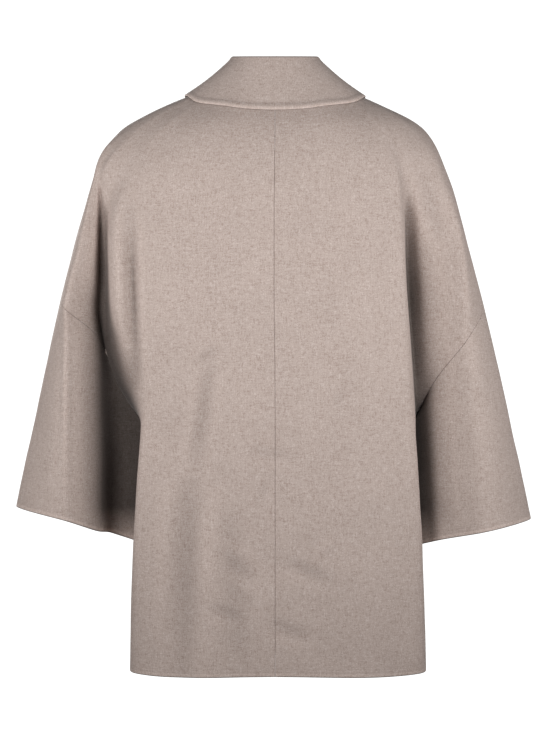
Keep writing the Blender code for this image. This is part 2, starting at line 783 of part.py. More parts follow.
def collar_angles():
    """Where the collar is divided on one side, from the middle of the back to the front end."""
    back = np.linspace(0, 90, COLLAR_BACK_COLUMNS + 1)
    front = np.linspace(90, COLLAR_END_ANGLE, COLLAR_FRONT_COLUMNS + 1)[1:]
    return [*back, *front]


def collar_object(material, collection):
    """The collar, a strip that stands up from the neck seam, rolls over and lies on the shoulders."""
    half = {side: [collar_path(side, a) for a in collar_angles()] for side in ("left", "right")}
    right = [path * np.array((-1.0, 1.0, 1.0)) for path in half["right"]]
    centre = (half["left"][0] + right[0]) / 2
    paths = np.array([*right[:0:-1], centre, *half["left"][1:]])
    along = np.gradient(paths, axis=0)
    down = np.gradient(paths, axis=1)
    normals = np.cross(down, along)
    normals /= np.linalg.norm(normals, axis=2)[:, :, None]
    mesh = bmesh.new()
    faces = [
        [[mesh.verts.new(point * MM) for point in row] for row in paths + normals * WALL / 2 * sign]
        for sign in (1, -1)
    ]
    top, under = faces
    columns, steps = paths.shape[:2]
    for i in range(columns - 1):
        for j in range(steps - 1):
            mesh.faces.new((top[i][j], top[i][j + 1], top[i + 1][j + 1], top[i + 1][j]))
            mesh.faces.new((under[i + 1][j], under[i + 1][j + 1], under[i][j + 1], under[i][j]))
        for j, turn in ((0, 1), (steps - 1, -1)):
            rim = (top[i][j], top[i + 1][j], under[i + 1][j], under[i][j])
            mesh.faces.new(rim[::turn])
    for i, turn in ((0, -1), (columns - 1, 1)):
        for j in range(steps - 1):
            rim = (top[i][j], top[i][j + 1], under[i][j + 1], under[i][j])
            mesh.faces.new(rim[::turn])
    bmesh.ops.recalc_face_normals(mesh, faces=mesh.faces[:])
    return finish_object("collar", mesh, material, collection)


def wool(name):
    material = bpy.data.materials.new(name)
    material.use_nodes = True
    shader = material.node_tree.nodes["Principled BSDF"]
    shader.inputs["Base Color"].default_value = TAUPE
    shader.inputs["Roughness"].default_value = CLOTH_ROUGHNESS
    shader.inputs["Metallic"].default_value = 0.0
    material.diffuse_color = TAUPE
    return material


def clear_scene():
    for thing in list(bpy.data.objects):
        bpy.data.objects.remove(thing, do_unlink=True)


def main():
    clear_scene()
    collection = bpy.data.collections.new("cape_coat")
    bpy.context.scene.collection.children.link(collection)
    skin = Skin()
    pieces = skin.quads
    lap = front_lap(skin, pieces)
    for name in sorted(pieces):
        lift = lap if name == "front_right" else {}
        wall_object(name, skin, pieces, lift, wool(f"wool_{name}"), collection)
    collar_object(wool("wool_collar"), collection)


main()
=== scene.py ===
"""The looks of a short cape coat in double-faced wool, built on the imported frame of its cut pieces.

Metres, +Z up. The back of the coat faces +Y and the wearer's left is +X. The tables are in millimetres, as a
cutter would write them. The cloth is one skin of named lines, as in the coat's own construction, made finer
here, creased, parted along its seams and given soft edges.
"""

import functools
import math

import bpy
import numpy as np
from bpy.props import FloatProperty, FloatVectorProperty, PointerProperty
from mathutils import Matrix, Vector, kdtree, noise


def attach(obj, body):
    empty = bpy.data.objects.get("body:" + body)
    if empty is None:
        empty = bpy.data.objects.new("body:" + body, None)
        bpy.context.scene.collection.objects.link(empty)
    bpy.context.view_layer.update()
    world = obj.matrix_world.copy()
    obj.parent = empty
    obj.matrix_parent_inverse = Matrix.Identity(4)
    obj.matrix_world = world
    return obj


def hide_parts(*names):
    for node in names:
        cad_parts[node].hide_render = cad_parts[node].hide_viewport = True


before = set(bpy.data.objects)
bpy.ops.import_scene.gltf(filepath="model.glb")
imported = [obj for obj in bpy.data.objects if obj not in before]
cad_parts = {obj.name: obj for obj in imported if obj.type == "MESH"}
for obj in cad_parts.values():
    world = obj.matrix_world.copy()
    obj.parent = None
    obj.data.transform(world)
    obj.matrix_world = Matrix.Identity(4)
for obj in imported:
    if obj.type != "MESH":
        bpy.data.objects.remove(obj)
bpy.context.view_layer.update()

bl_info = {
    "name": "Cape Coat",
    "version": (1, 0, 0),
    "blender": (4, 5, 0),
    "location": "3D View > Sidebar > Coat",
    "description": "Makes the cloth, seams and finish of a short cape coat",
    "category": "Object",
}

MM = 0.001
SIDES = ("left", "right")

# Cloth
WALL = 2.6  # thickness of the double-faced wool
UNDERARM_WALL = 1.4  # and where the seams are pressed thin, right in the underarm
UNDERARM_REACH = 20.0  # how far from the underarm point the wall is back at its thickness
LAP_LIFT = 3.3  # how far the upper front lies above the lower one where they lap

# Neck seam, an oval: half width, depth to the back and to the front, and heights round it
NECK_HALF_WIDTH = 80.0
NECK_BACK = 62.0
NECK_FRONT = 75.0
NECK_SIDE_RISE = 8.0
NECK_FRONT_DROP = 70.0
NECK_FRONT_POWER = 0.9  # how evenly the neck seam falls to the front: 1 is a plain cosine

# Collar
ROLL_HALF_WIDTH = 55.0
ROLL_BACK = 48.0
ROLL_FRONT = 84.0
ROLL_HEIGHT = 49.0
ROLL_BACK_HEIGHT = 43.0
ROLL_FRONT_HEIGHT = -54.0
ROLL_RADIUS = 4.0
ROLL_SINK_POWER = 1.5  # how late the roll sinks on its way to the front
ROLL_NARROWING = 0.15  # share by which it comes in there
PROBE = 0.01  # step down the coat, as a share, that gives its slope at a point
FOOT_RISE = 1.6  # how far the collar's foot stands above the neck seam's cut edge
FALL_LIFT_BACK = 0.9  # how far the fall stands off the coat under it
FALL_LIFT_FRONT = 7.0
FALL_HOLLOW = 2.2  # how far the fall is hollowed on its way down at the sides
COLLAR_END_ANGLE = 176.0
POINT_ANGLE = 163.0
LIFT_FROM_ANGLE = 95.0  # between these angles the fall's stand-off grows from back to front
LIFT_TO_ANGLE = 160.0

# The body
UNDERARM_HEIGHT = -430.0
FULLNESS = 2.4  # how square the body's section is between its middle and its side folds
BLADE_SHARE = 0.48  # where the lines between the middle and the side fold run, as shares of the way
YOKE_SHARE = 0.80
CHEST_SHARE = 0.50
EVEN_SHARE = 0.13  # share of the way to the underarm from where they run there

# Where the collar's lower edge lies, as a share of the way down the coat to the underarm
FALL = (
    # degrees from centre back, share
    (0, 0.071),
    (25, 0.069),
    (50, 0.058),
    (70, 0.050),
    (90, 0.045),
    (180, 0.135),
)

# How finely the skin is divided
FAN_ROWS = 26
BODY_ROWS = 16
SLEEVE_ROWS = 14
BODY_ROWS_GATHER = 1.4  # how much closer the rows lie at the underarm than at the hem
SLEEVE_ROWS_GATHER = 1.25
COLLAR_BACK_COLUMNS = 9
COLLAR_FRONT_COLUMNS = 10
COLLAR_STAND_STEPS = 4
COLLAR_ROLL_STEPS = 6
COLLAR_FALL_STEPS = 6
MITRE_LIMIT = 0.6  # keeps the corner of two seams from being pulled in too far

# The lines down from the neck seam, from centre back round to centre front
LINES = (
    # name, degrees from centre back at the neck, height at the upper coat's end, at the hem, strips after it
    ("centre_back", 0.0, -424.0, -754.0, 3),
    ("blade", 26.0, -425.0, -757.0, 3),
    ("yoke", 43.0, -428.0, -759.0, 3),
    ("edge", 53.0, -431.0, -757.0, 3),
    ("valley", 61.0, UNDERARM_HEIGHT, -753.0, 2),
    ("inner", 65.0, None, None, 2),
    ("lip", 69.0, None, None, 3),
    ("ridge", 77.0, None, None, 4),
    ("over", 90.0, None, None, 4),
    ("front_ridge", 103.0, -310.0, None, 3),
    ("front_lip", 110.0, -385.0, None, 3),
    ("front_valley", 117.5, UNDERARM_HEIGHT, None, 3),
    ("front_edge", 129.0, -431.0, -754.0, 3),
    ("chest", 150.0, -430.0, -755.0, 3),
    ("centre_front", 180.0, -429.0, -754.0, 0),
)
NAMES, ANGLES, ENDS, HEMS, STRIPS = zip(*LINES)
VALLEY = NAMES.index("valley")
FRONT_VALLEY = NAMES.index("front_valley")

# Share of the way from neck to underarm, and the depth of the middle lines there
CENTRES = (
    # share, back, front
    (0.00, 62, -75),
    (0.05, 75, -86),
    (0.13, 87, -98),
    (0.27, 98, -110),
    (0.45, 106, -119),
    (0.62, 111, -124),
    (0.78, 114, -127),
    (1.00, 117, -129),
)

# The outline over the shoulder and down the overarm
OVERARM = (
    # height, left, right, depth
    (8, 80, 80, 0),
    (-4, 118, 117, 0),
    (-14, 141, 139, 0),
    (-25, 165, 163, 0),
    (-36, 187, 184, 0),
    (-46, 203, 197, -1),
    (-66, 219, 211, -2),
    (-86, 230, 220, -3),
    (-125, 244, 235, -5),
    (-205, 267, 257, -9),
    (-284, 287, 279, -12),
    (-541, 346, 339, -26),
    (-620, 364, 357, -30),
)

# Back half of the upper coat: the side fold of the body, the valley beside it, and the sleeve's lip and ridge
BACK_LEFT = (
    # share, edge x, edge y, valley x, valley y, lip x, lip y, ridge x, ridge y
    (0.05, 94, 52, 103, 47, 111, 36.5, 117, 24),
    (0.13, 132, 65, 148, 60.5, 160, 41.5, 170, 24),
    (0.20, 158, 71, 177, 63, 190, 43.5, 198, 26),
    (0.27, 180, 75, 203, 61, 214, 44.5, 222, 30),
    (0.36, 203, 74, 218, 48, 229, 45, 234, 38),
    (0.45, 210, 74, 222, 35, 230, 47, 238, 45),
    (0.54, 211, 74, 222, 26, 231, 47, 243, 50),
    (0.66, 210, 74, 221, 19, 232, 46, 250, 55),
    (0.78, 190, 73, 219, 14, 233, 42, 257, 59),
    (0.88, 177, 73, 211, 7, 236, 36, 265, 62),
    (0.97, 173, 73, 188, 1, 235, 32, 270, 64),
    (1.00, 174, 71, 175, 0, 234, 31, 272, 65),
)
BACK_RIGHT = (
    (0.05, 94, 52, 103, 47.5, 111, 38, 117, 25),
    (0.13, 129, 66, 144, 60, 156, 47, 168, 31),
    (0.27, 157, 79, 166, 68, 184, 56, 209, 33),
    (0.36, 163, 81, 169, 53, 186, 55, 219, 38),
    (0.45, 166, 82, 171, 39, 189, 53, 229, 43),
    (0.54, 168, 82, 172, 30, 191, 50, 237, 46),
    (0.63, 170, 82, 174, 24, 194, 46, 243, 49),
    (0.78, 174, 80, 179, 26, 198, 43, 248, 51),
    (0.90, 177, 77, 183, 26, 202, 41, 249, 52),
    (0.97, 180, 75, 185, 18, 206, 39, 248, 52),
    (1.00, 182, 73, 184, 0, 208, 38, 248, 52),
)
BACK = {"left": BACK_LEFT, "right": BACK_RIGHT}
# Heights where the sleeve's lines meet the slanting seam
SEAM_HEIGHTS = {
    "left": {"lip": -316.0, "ridge": -285.0, "over": -270.0},
    "right": {"lip": -378.0, "ridge": -327.0, "over": -281.0},
}
UNDERARM_X = {"left": 175.0, "right": 184.0}
# How far the inner line has come from the valley to the lip, across and in depth: little depth is a sharp lip
INNER_SHARE = {"left": (0.80, 0.10), "right": (0.5, 0.5)}
LIP_FROM = 0.20  # between these shares of the way down the round shoulder turns into that lip
LIP_TO = 0.34

# Front half of the upper coat, the same on both sides
FRONT = (
    # share, ridge x, ridge y, lip x, lip y, valley x, valley y, edge x, edge y, chest x
    (0.05, 117, -22, 111, -34, 103, -45, 90, -60, 50),
    (0.13, 169, -28, 158, -45, 146, -57, 124, -75, 62),
    (0.27, 212, -34, 197, -55, 178, -66, 152, -86, 76),
    (0.45, 233, -44, 212, -62, 188, -58, 161, -89, 84),
    (0.62, 248, -52, 220, -66, 190, -50, 167, -89, 86),
    (0.78, 257, -58, 222, -66, 190, -40, 171, -87, 86),
    (0.90, 262, -61, 223, -64, 188, -27, 175, -85, 87),
    (0.97, 264, -62, 222, -62, 183, -12, 177, -84, 88),
    (1.00, 265, -62, 222, -60, 180, 0, 178, -83, 88),
)
FRONT_UNDERARM_X = FRONT[-1][5]  # where this table ends at the underarm

# Body below the underarm, by share of the way to the hem
BODY_LEFT = (
    # share, back fold x, y, side seam x, y, front fold x, y, depth of centre back, of centre front
    (0.04, 175, 71, 166, -3, 177, -83, 117, -129),
    (0.15, 178, 70, 162, -4, 179, -81, 117, -130),
    (0.35, 183, 66, 165, -4, 182, -77, 118, -132),
    (0.50, 186, 62, 172, -3, 184, -74, 119, -133),
    (0.70, 188, 55, 184, -2, 186, -69, 120, -134),
    (1.00, 189, 44, 190, 0, 188, -60, 121, -137),
)
BODY_RIGHT = (
    (0.04, 183, 73, 173, -3, 183, -83, 117, -129),
    (0.15, 186, 71, 169, -4, 186, -81, 117, -130),
    (0.35, 190, 67, 173, -4, 187, -77, 118, -132),
    (0.50, 193, 63, 180, -3, 190, -74, 119, -133),
    (0.70, 195, 56, 191, -2, 193, -69, 120, -134),
    (1.00, 197, 46, 198, 0, 195, -60, 121, -137),
)
BODY = {"left": BODY_LEFT, "right": BODY_RIGHT}

# Lower sleeves, by share of the way from the slanting seam to the cuff. Their outline is in OVERARM.
SLEEVE_LEFT = (
    # share, seam under the arm x, y, lip x, y, ridge x, y, front ridge x, y, front lip x, y
    (0.12, 166, -10, 233, 30, 270, 63, 268, -66, 220, -64),
    (0.35, 170, -18, 231, 28, 271, 62, 275, -74, 222, -70),
    (0.65, 173, -24, 229, 26, 271, 63, 284, -84, 224, -78),
    (1.00, 180, -28, 228, 26, 272, 65, 292, -92, 226, -84),
)
SLEEVE_RIGHT = (
    (0.12, 170, -6, 208, 40, 252, 54, 266, -66, 222, -64),
    (0.35, 174, -4, 210, 42, 258, 57, 272, -74, 223, -70),
    (0.65, 180, 4, 213, 42, 264, 60, 280, -84, 223, -78),
    (1.00, 188, 8, 218, 40, 270, 60, 286, -92, 225, -84),
)
SLEEVE = {"left": SLEEVE_LEFT, "right": SLEEVE_RIGHT}
SLEEVE_NAMES = ("valley", "lip", "ridge", "front_ridge", "front_lip")
# Heights at the cuff: of those lines, in their order, and of the overarm
CUFF = {"left": (-593, -576, -559, -557, -583, -545), "right": (-594, -585, -575, -567, -586, -561)}

# The largest soft folds of the back: a trough runs from one end to the other, deepest in its middle
FOLD_END_POWER = 0.6  # how blunt a trough's ends are: 1 is a plain sine
FOLD_FADE = 40.0  # folds fade out over this depth where the coat turns from back to front
BACK_FOLDS = (
    # from x, from z, to x, to z, half width, depth
    (194, -150, 184, -400, 12, 9.0),
    (90, -330, 134, -742, 30, 5.0),
    (-176, -92, -212, -200, 16, -2.5),
    (60, -590, -62, -640, 16, 2.5),
)
# Like ones on the front, which the photograph doesn't show
FRONT_FOLDS = (
    (-150, -120, -128, -420, 22, 4.0),
    (146, -150, 120, -470, 24, 4.0),
    (-96, -430, -140, -740, 28, 4.5),
    (100, -500, 138, -745, 26, 4.0),
)


# The finer skin
SKIN_LEVELS = 2  # how often the cage is halved
NORMAL_PASSES = 3  # how soft the normals of its wall are
COLLAR_NORMAL_PASSES = 2
LIFT_PASSES = 4  # how softly the upper front lies down beside the lap
LAP_STRIPS = 1  # how many strips a side of the centre front lap
FOOT_NEAR = 7.0  # edges of the collar this close to its foot are sewn
FAR_MM = 60.0  # distances from edges and seams are kept up to this
NUMBER_STEP = 1 << 32  # more than any skin has points
TINY = 1e-12  # keeps a vector without length from being divided by nothing

# The turn of the cloth at its edges, from the outer face to the inner one
EDGE_STEPS = 5
SEAM_PROFILE = (
    # in from the seam, down from the outer face
    (1.0, 0.0),
    (0.45, 0.06),
    (0.16, 0.3),
    (0.05, 0.8),
    (0.05, 2.6),
)

TAGS = [f"{piece}_{side}" for piece in ("back", "front", "sleeve", "lap") for side in SIDES]

# Creases: a middle line through three points across and up the cloth, its half width and its depth
CREASE_STEPS = 33
CREASE_REACH = 4.0  # how far a crease is felt, in half widths
CREASE_END_POWER = 0.8
RIDGE_SHARE = 0.28  # the low ridges beside a trough: their share of its depth, place and spread
RIDGE_PLACE = 2.0
RIDGE_SPREAD = 0.7
FACING_FULL = 0.35  # how far the cloth must face back or front to have the whole crease
BACK_CREASES = (
    # from x, from z, through x, z, to x, to z, half width, depth
    (187, -150, 185, -270, 179, -395, 7, 8.0),
    (270, -282, 271, -420, 271, -572, 4, -3.8),
    (-192, -96, -203, -150, -213, -204, 9, 2.6),
    (78, -335, 92, -425, 105, -520, 8, 3.8),
    (104, -500, 116, -600, 122, -800, 15, 5.5),
    (62, -540, 52, -640, 44, -760, 15, 3.0),
    (76, -336, 90, -349, 103, -360, 6, 1.8),
    (-81, -393, -80, -404, -79, -416, 5, 1.3),
    (38, -466, 4, -473, -30, -479, 7, 1.4),
    (6, -498, 14, -518, 24, -541, 5, 1.6),
    (62, -607, 42, -620, 23, -637, 8, 2.9),
    (82, -579, 52, -591, 22, -606, 5, -1.4),
    (-12, -607, -42, -623, -76, -638, 8, 2.7),
    (-47, -601, -60, -589, -75, -578, 5, -1.3),
    (85, -664, 64, -675, 42, -684, 7, 2.6),
    (36, -654, 31, -662, 27, -670, 6, 1.6),
    (7, -686, -17, -697, -44, -707, 8, 2.7),
)
FRONT_CREASES = (
    (-150, -120, -140, -270, -128, -420, 16, 3.0),
    (146, -150, 138, -300, 120, -470, 18, 3.0),
)
# Unevenness of the cloth in millimetres: size of a patch, height, place in the noise
UNEVENNESS = (
    (90.0, 0.9, 3.1),
    (34.0, 0.35, 7.7),
)

# Painted shade in the wool's colour, counted like crease depth: deep inside folds, and a painted shadow below
# the collar
FOLD_LAYER = 10.0  # height of the layers in which depth is measured
FOLD_FROM = 16.0  # depths at which the shade begins and is full
FOLD_FULL = 62.0
FOLD_WORTH = 21.0  # how deep a crease the full shade counts for
CUFF_END = -585.0  # where it ends at the cuffs, and how softly
CUFF_FADE = 40.0
# The painted shadow below the collar: what it counts for at its top, the height of that top, and how softly
# it fades downwards
YOKE_WORTH = 5.0
YOKE_TOP = -35.0
YOKE_FADE = 33.0

# The wool's finish
THREAD_LENGTH = 5.0  # how much longer than wide a thread and a streak of the nap are
NAP_LENGTH = 4.0
PALE_FIBRE = 0.6  # what the fibres count for in the melange, beside the weave, and its thresholds
PALE_BETWEEN = (0.50, 0.66)
DARK_FIBRE = 0.5
DARK_BETWEEN = (0.50, 0.36)
CLOUD_SHARE = 0.10
NAP_SHARE = 0.05
EDGE_LIGHT = 0.18  # a painted highlight along an open edge, where it rolls, and between which distances it begins and ends
EDGE_LIGHT_FROM = (0.6, 1.8)
EDGE_LIGHT_TO = (4.0, 6.0)
EDGE_DARK = 0.45  # painted shade at the edge itself, where the cloth turns under
EDGE_DARK_TO = (0.5, 1.5)
SEAM_DARK = 0.06
SEAM_DARK_TO = (0.2, 1.4)
PAINTED_SHADE_PER_MM = 0.035  # painted shade, for each millimetre of crease depth or of its like in folds and below the collar
HEM_TURN_MM = 8.5  # the stitched line along the turned-in edges, whose groove also gets painted shade
HEM_TURN_SPREAD = 3.2
HEM_TURN_DARK = 0.24
HEM_GROOVE = 0.0002
HEM_STEP = 0.0002
HEM_STEP_BETWEEN = (7.5, 9.5)
BODY_TURNING = 0.1
COLLAR_TURNING = 0.6
RELIEF = 0.00035  # of the fine surface, in metres, and the shares of weave, fibres and nap in it
WEAVE_SHARE = 0.45
FIBRE_SHARE = 0.4
NAP_RELIEF_SHARE = 0.5
CLOUD_RELIEF = 0.0003
NAP_ROUGHNESS = 0.12
PALE_GLOSS = 0.05
SPECULAR = 0.22
SHEEN_ROUGHNESS = 0.55

# The picture: the camera is level with its middle and square on to the back
PICTURE_HEIGHT = 734
SCALE_AT_COAT = 0.00132
SENSOR = 36.0
CAMERA_AWAY = 3.2
CAMERA_HEIGHT = -0.36
CAMERA_FAR = 50.0
LAMPS = (
    # name, degrees from the camera towards the wearer's left, distance, height, size, share of the power
    ("left_box", 28.0, 1.7, -0.05, 0.8, 1.0),
    ("right_box", -30.0, 1.7, -0.05, 0.8, 1.0),
    ("left_side", 80.0, 1.7, -0.2, 0.8, 0.6),
    ("right_side", -80.0, 1.7, -0.2, 0.8, 0.6),
    ("front_box", 168.0, 2.3, 0.10, 1.2, 3.4),
)
LIGHT_AIM = (0.0, 0.0, -0.2)
LIGHT_SPREAD = 100.0
FLOOR_FULL = 0.9  # it fades from this distance from its middle to its rim
FLOOR_RADIUS = 2.7
FLOOR_SIDES = 96
FLOOR_PATCH = 0.8
FLOOR_SHADES = (0.80, 0.784)
FLOOR_DENSITY = 0.24
FLOOR_ROUGHNESS = 0.9


def smooth_through(knots, values, at):
    """Values read at places between the knots: a smooth curve that never swings past a neighbouring value."""
    knots = np.asarray(knots, float)
    values = np.asarray(values, float).reshape(len(knots), -1)
    step = np.diff(knots)[:, None]
    slope = np.diff(values, axis=0) / step
    before, after = slope[:-1], slope[1:]
    w_before = step[:-1] + 2 * step[1:]
    w_after = 2 * step[:-1] + step[1:]
    with np.errstate(divide="ignore", invalid="ignore"):
        mean = (w_before + w_after) / (w_before / after + w_after / before)
    tangent = np.concatenate([slope[:1], np.where(before * after > 0, mean, 0.0), slope[-1:]])
    at = np.clip(np.atleast_1d(at), knots[0], knots[-1])
    i = np.clip(np.searchsorted(knots, at, side="right") - 1, 0, len(knots) - 2)
    h = step[i]
    t = (at - knots[i])[:, None] / h
    start = (1 + 2 * t) * (1 - t) ** 2 * values[i] + t * (1 - t) ** 2 * h * tangent[i]
    end = t * t * (3 - 2 * t) * values[i + 1] - t * t * (1 - t) * h * tangent[i + 1]
    return start + end


def table_row(table, at):
    """The row of a table at a place between its rows, without the first column."""
    table = np.asarray(table, float)
    return smooth_through(table[:, 0], table[:, 1:], at)[0]


def neck_point(angle):
    """A point of the neck seam, the angle in degrees from centre back round to centre front."""
    turn = math.radians(angle)
    across, along = math.sin(turn), math.cos(turn)
    x = NECK_HALF_WIDTH * across
    if along >= 0:
        return np.array((x, NECK_BACK * along, NECK_SIDE_RISE * across * across))
    drop = (1 - across) ** NECK_FRONT_POWER
    return np.array((x, NECK_FRONT * along, NECK_SIDE_RISE - (NECK_SIDE_RISE + NECK_FRONT_DROP) * drop))


def overarm_point(side, height):
    """The outline's point at a height."""
    left, right, depth = table_row(OVERARM[::-1], height)
    return np.array((left if side == "left" else right, depth, height))


def rounded(middle, fold_x, fold_y, x):
    """Depth at x on the round between the middle of the body and its side fold."""
    return fold_y + (middle - fold_y) * (1 - (x / fold_x) ** FULLNESS)


def end_heights(side):
    """How high each line ends at the armhole seam."""
    ends = dict(zip(NAMES, ENDS))
    ends.update(SEAM_HEIGHTS[side])
    ends["inner"] = UNDERARM_HEIGHT + INNER_SHARE[side][0] * (ends["lip"] - UNDERARM_HEIGHT)
    return ends


def read_lines(names, table, share, start, *singles):
    """Where a table has its lines at a share, and its single columns there. Start is where they are at 0."""
    first = [c for name in names for c in start[name][:2]]
    row = table_row(((0.0, *first, *singles), *table), share)
    return {name: row[2 * i : 2 * i + 2] for i, name in enumerate(names)}, row[2 * len(names) :]


def add_middles(flat, back_y, front_y, chest_x, from_neck=1.0):
    """Adds the lines between the side folds. Close to the neck they run from their places on its seam."""
    for name, way in (("blade", BLADE_SHARE), ("yoke", YOKE_SHARE)):
        at_neck = neck_point(ANGLES[NAMES.index(name)])[0]
        x = at_neck * (1 - from_neck) + way * flat["edge"][0] * from_neck
        flat[name] = (x, rounded(back_y, *flat["edge"], x))
    flat["chest"] = (chest_x, rounded(front_y, *flat["front_edge"], chest_x))
    flat["centre_back"] = (0.0, back_y)
    flat["centre_front"] = (0.0, front_y)


def fan_lines(side, share):
    """Where a section of the upper coat crosses its lines, share 0 at the neck and 1 at the underarm."""
    neck = {name: neck_point(angle) for name, angle in zip(NAMES, ANGLES)}
    if share <= 0:
        return list(neck.values())
    ends = end_heights(side)
    height = {name: neck[name][2] + share * (ends[name] - neck[name][2]) for name in NAMES}
    flat, _ = read_lines(("edge", "valley", "lip", "ridge"), BACK[side], share, neck)
    front_names = ("front_ridge", "front_lip", "front_valley", "front_edge")
    front, (chest_x,) = read_lines(front_names, FRONT, share, neck, neck["chest"][0])
    flat.update(front)
    flat["front_valley"][0] += (UNDERARM_X[side] - FRONT_UNDERARM_X) * share
    back_y, front_y = table_row(CENTRES, share)
    add_middles(flat, back_y, front_y, chest_x, min(1.0, share / EVEN_SHARE))
    across, deep = INNER_SHARE[side]
    deep = across + (deep - across) * min(max((share - LIP_FROM) / (LIP_TO - LIP_FROM), 0.0), 1.0)
    flat["inner"] = flat["valley"] + np.array((across, deep)) * (flat["lip"] - flat["valley"])
    flat["over"] = overarm_point(side, height["over"])[:2]
    return [np.array((*flat[name], height[name])) for name in NAMES]


def body_lines(side, share):
    """Where a section below the underarm crosses its lines, share 0 at the underarm and 1 at the hem."""
    top = dict(zip(NAMES, fan_lines(side, 1.0)))
    singles = (top["centre_back"][1], top["centre_front"][1])
    flat, (back_y, front_y) = read_lines(("edge", "valley", "front_edge"), BODY[side], share, top, *singles)
    add_middles(flat, back_y, front_y, CHEST_SHARE * flat["front_edge"][0])
    return [
        np.array((*flat[name], top[name][2] + share * (hem - top[name][2])))
        for name, hem in zip(NAMES, HEMS)
        if name in flat
    ]


def sleeve_lines(side, share):
    """Where a section of the lower sleeve crosses its lines, share 0 at its seam and 1 at the cuff."""
    top = dict(zip(NAMES, fan_lines(side, 1.0)))
    flat, _ = read_lines(SLEEVE_NAMES, SLEEVE[side], share, top)
    height = {
        name: top[name][2] + share * (end - top[name][2])
        for name, end in zip((*SLEEVE_NAMES, "over"), CUFF[side])
    }
    points = {name: np.array((*flat[name], height[name])) for name in SLEEVE_NAMES}
    across, deep = INNER_SHARE[side]
    under = points["front_valley"] = points["valley"]
    points["inner"] = under + np.array((across, deep, across)) * (points["lip"] - under)
    points["over"] = overarm_point(side, height["over"])
    return [points[name] for name in NAMES if name in points]


def through_lines(points, strips, before, after):
    """A section as a smooth row of points: through its lines, going on to the points beyond its ends."""
    points = np.array([before, *points, after])
    length = np.concatenate([[0.0], np.cumsum(np.linalg.norm(np.diff(points, axis=0), axis=1))])
    places = [length[1]]
    for low, high, count in zip(length[1:], length[2:], strips):
        places += [low + (high - low) * (j + 1) / count for j in range(count)]
    return smooth_through(length, points, places)


def mirrored(point):
    """The same point or points on the other side."""
    return point * np.array((-1.0, 1.0, 1.0))


def fan_section(side, share):
    """A section of the upper coat as a smooth row of points."""
    lines = fan_lines(side, share)
    return through_lines(lines, STRIPS[:-1], mirrored(lines[1]), mirrored(lines[-2]))


def body_section(side, share):
    """A section of the body below the underarm."""
    lines = body_lines(side, share)
    strips = STRIPS[:VALLEY] + STRIPS[FRONT_VALLEY:-1]
    return through_lines(lines, strips, mirrored(lines[1]), mirrored(lines[-2]))


def sleeve_section(side, share):
    """A section round the lower sleeve, from under the arm back to there."""
    lines = sleeve_lines(side, share)
    return through_lines(lines, STRIPS[VALLEY:FRONT_VALLEY], lines[-2], lines[1])


def fold_depth(x, z, folds):
    """How deep the soft folds are at a point, in millimetres."""
    depth = 0.0
    for x0, z0, x1, z1, half_width, most in folds:
        run = math.hypot(x1 - x0, z1 - z0)
        along = ((x - x0) * (x1 - x0) + (z - z0) * (z1 - z0)) / run
        aside = abs((x - x0) * (z1 - z0) - (z - z0) * (x1 - x0)) / run
        end = math.sin(math.pi * min(max(along / run, 0.0), 1.0)) ** FOLD_END_POWER
        depth += most * end * math.exp(-((aside / half_width) ** 2))
    return depth


def folded(point):
    """A point of the skin with the soft folds pressed into it."""
    x, y, z = point
    if y > 0:
        return np.array((x, y - fold_depth(x, z, BACK_FOLDS) * min(1.0, y / FOLD_FADE), z))
    return np.array((x, y + fold_depth(x, z, FRONT_FOLDS) * min(1.0, -y / FOLD_FADE), z))


def line_column(name):
    """The column of the fan that runs down a line."""
    return sum(STRIPS[: NAMES.index(name)])


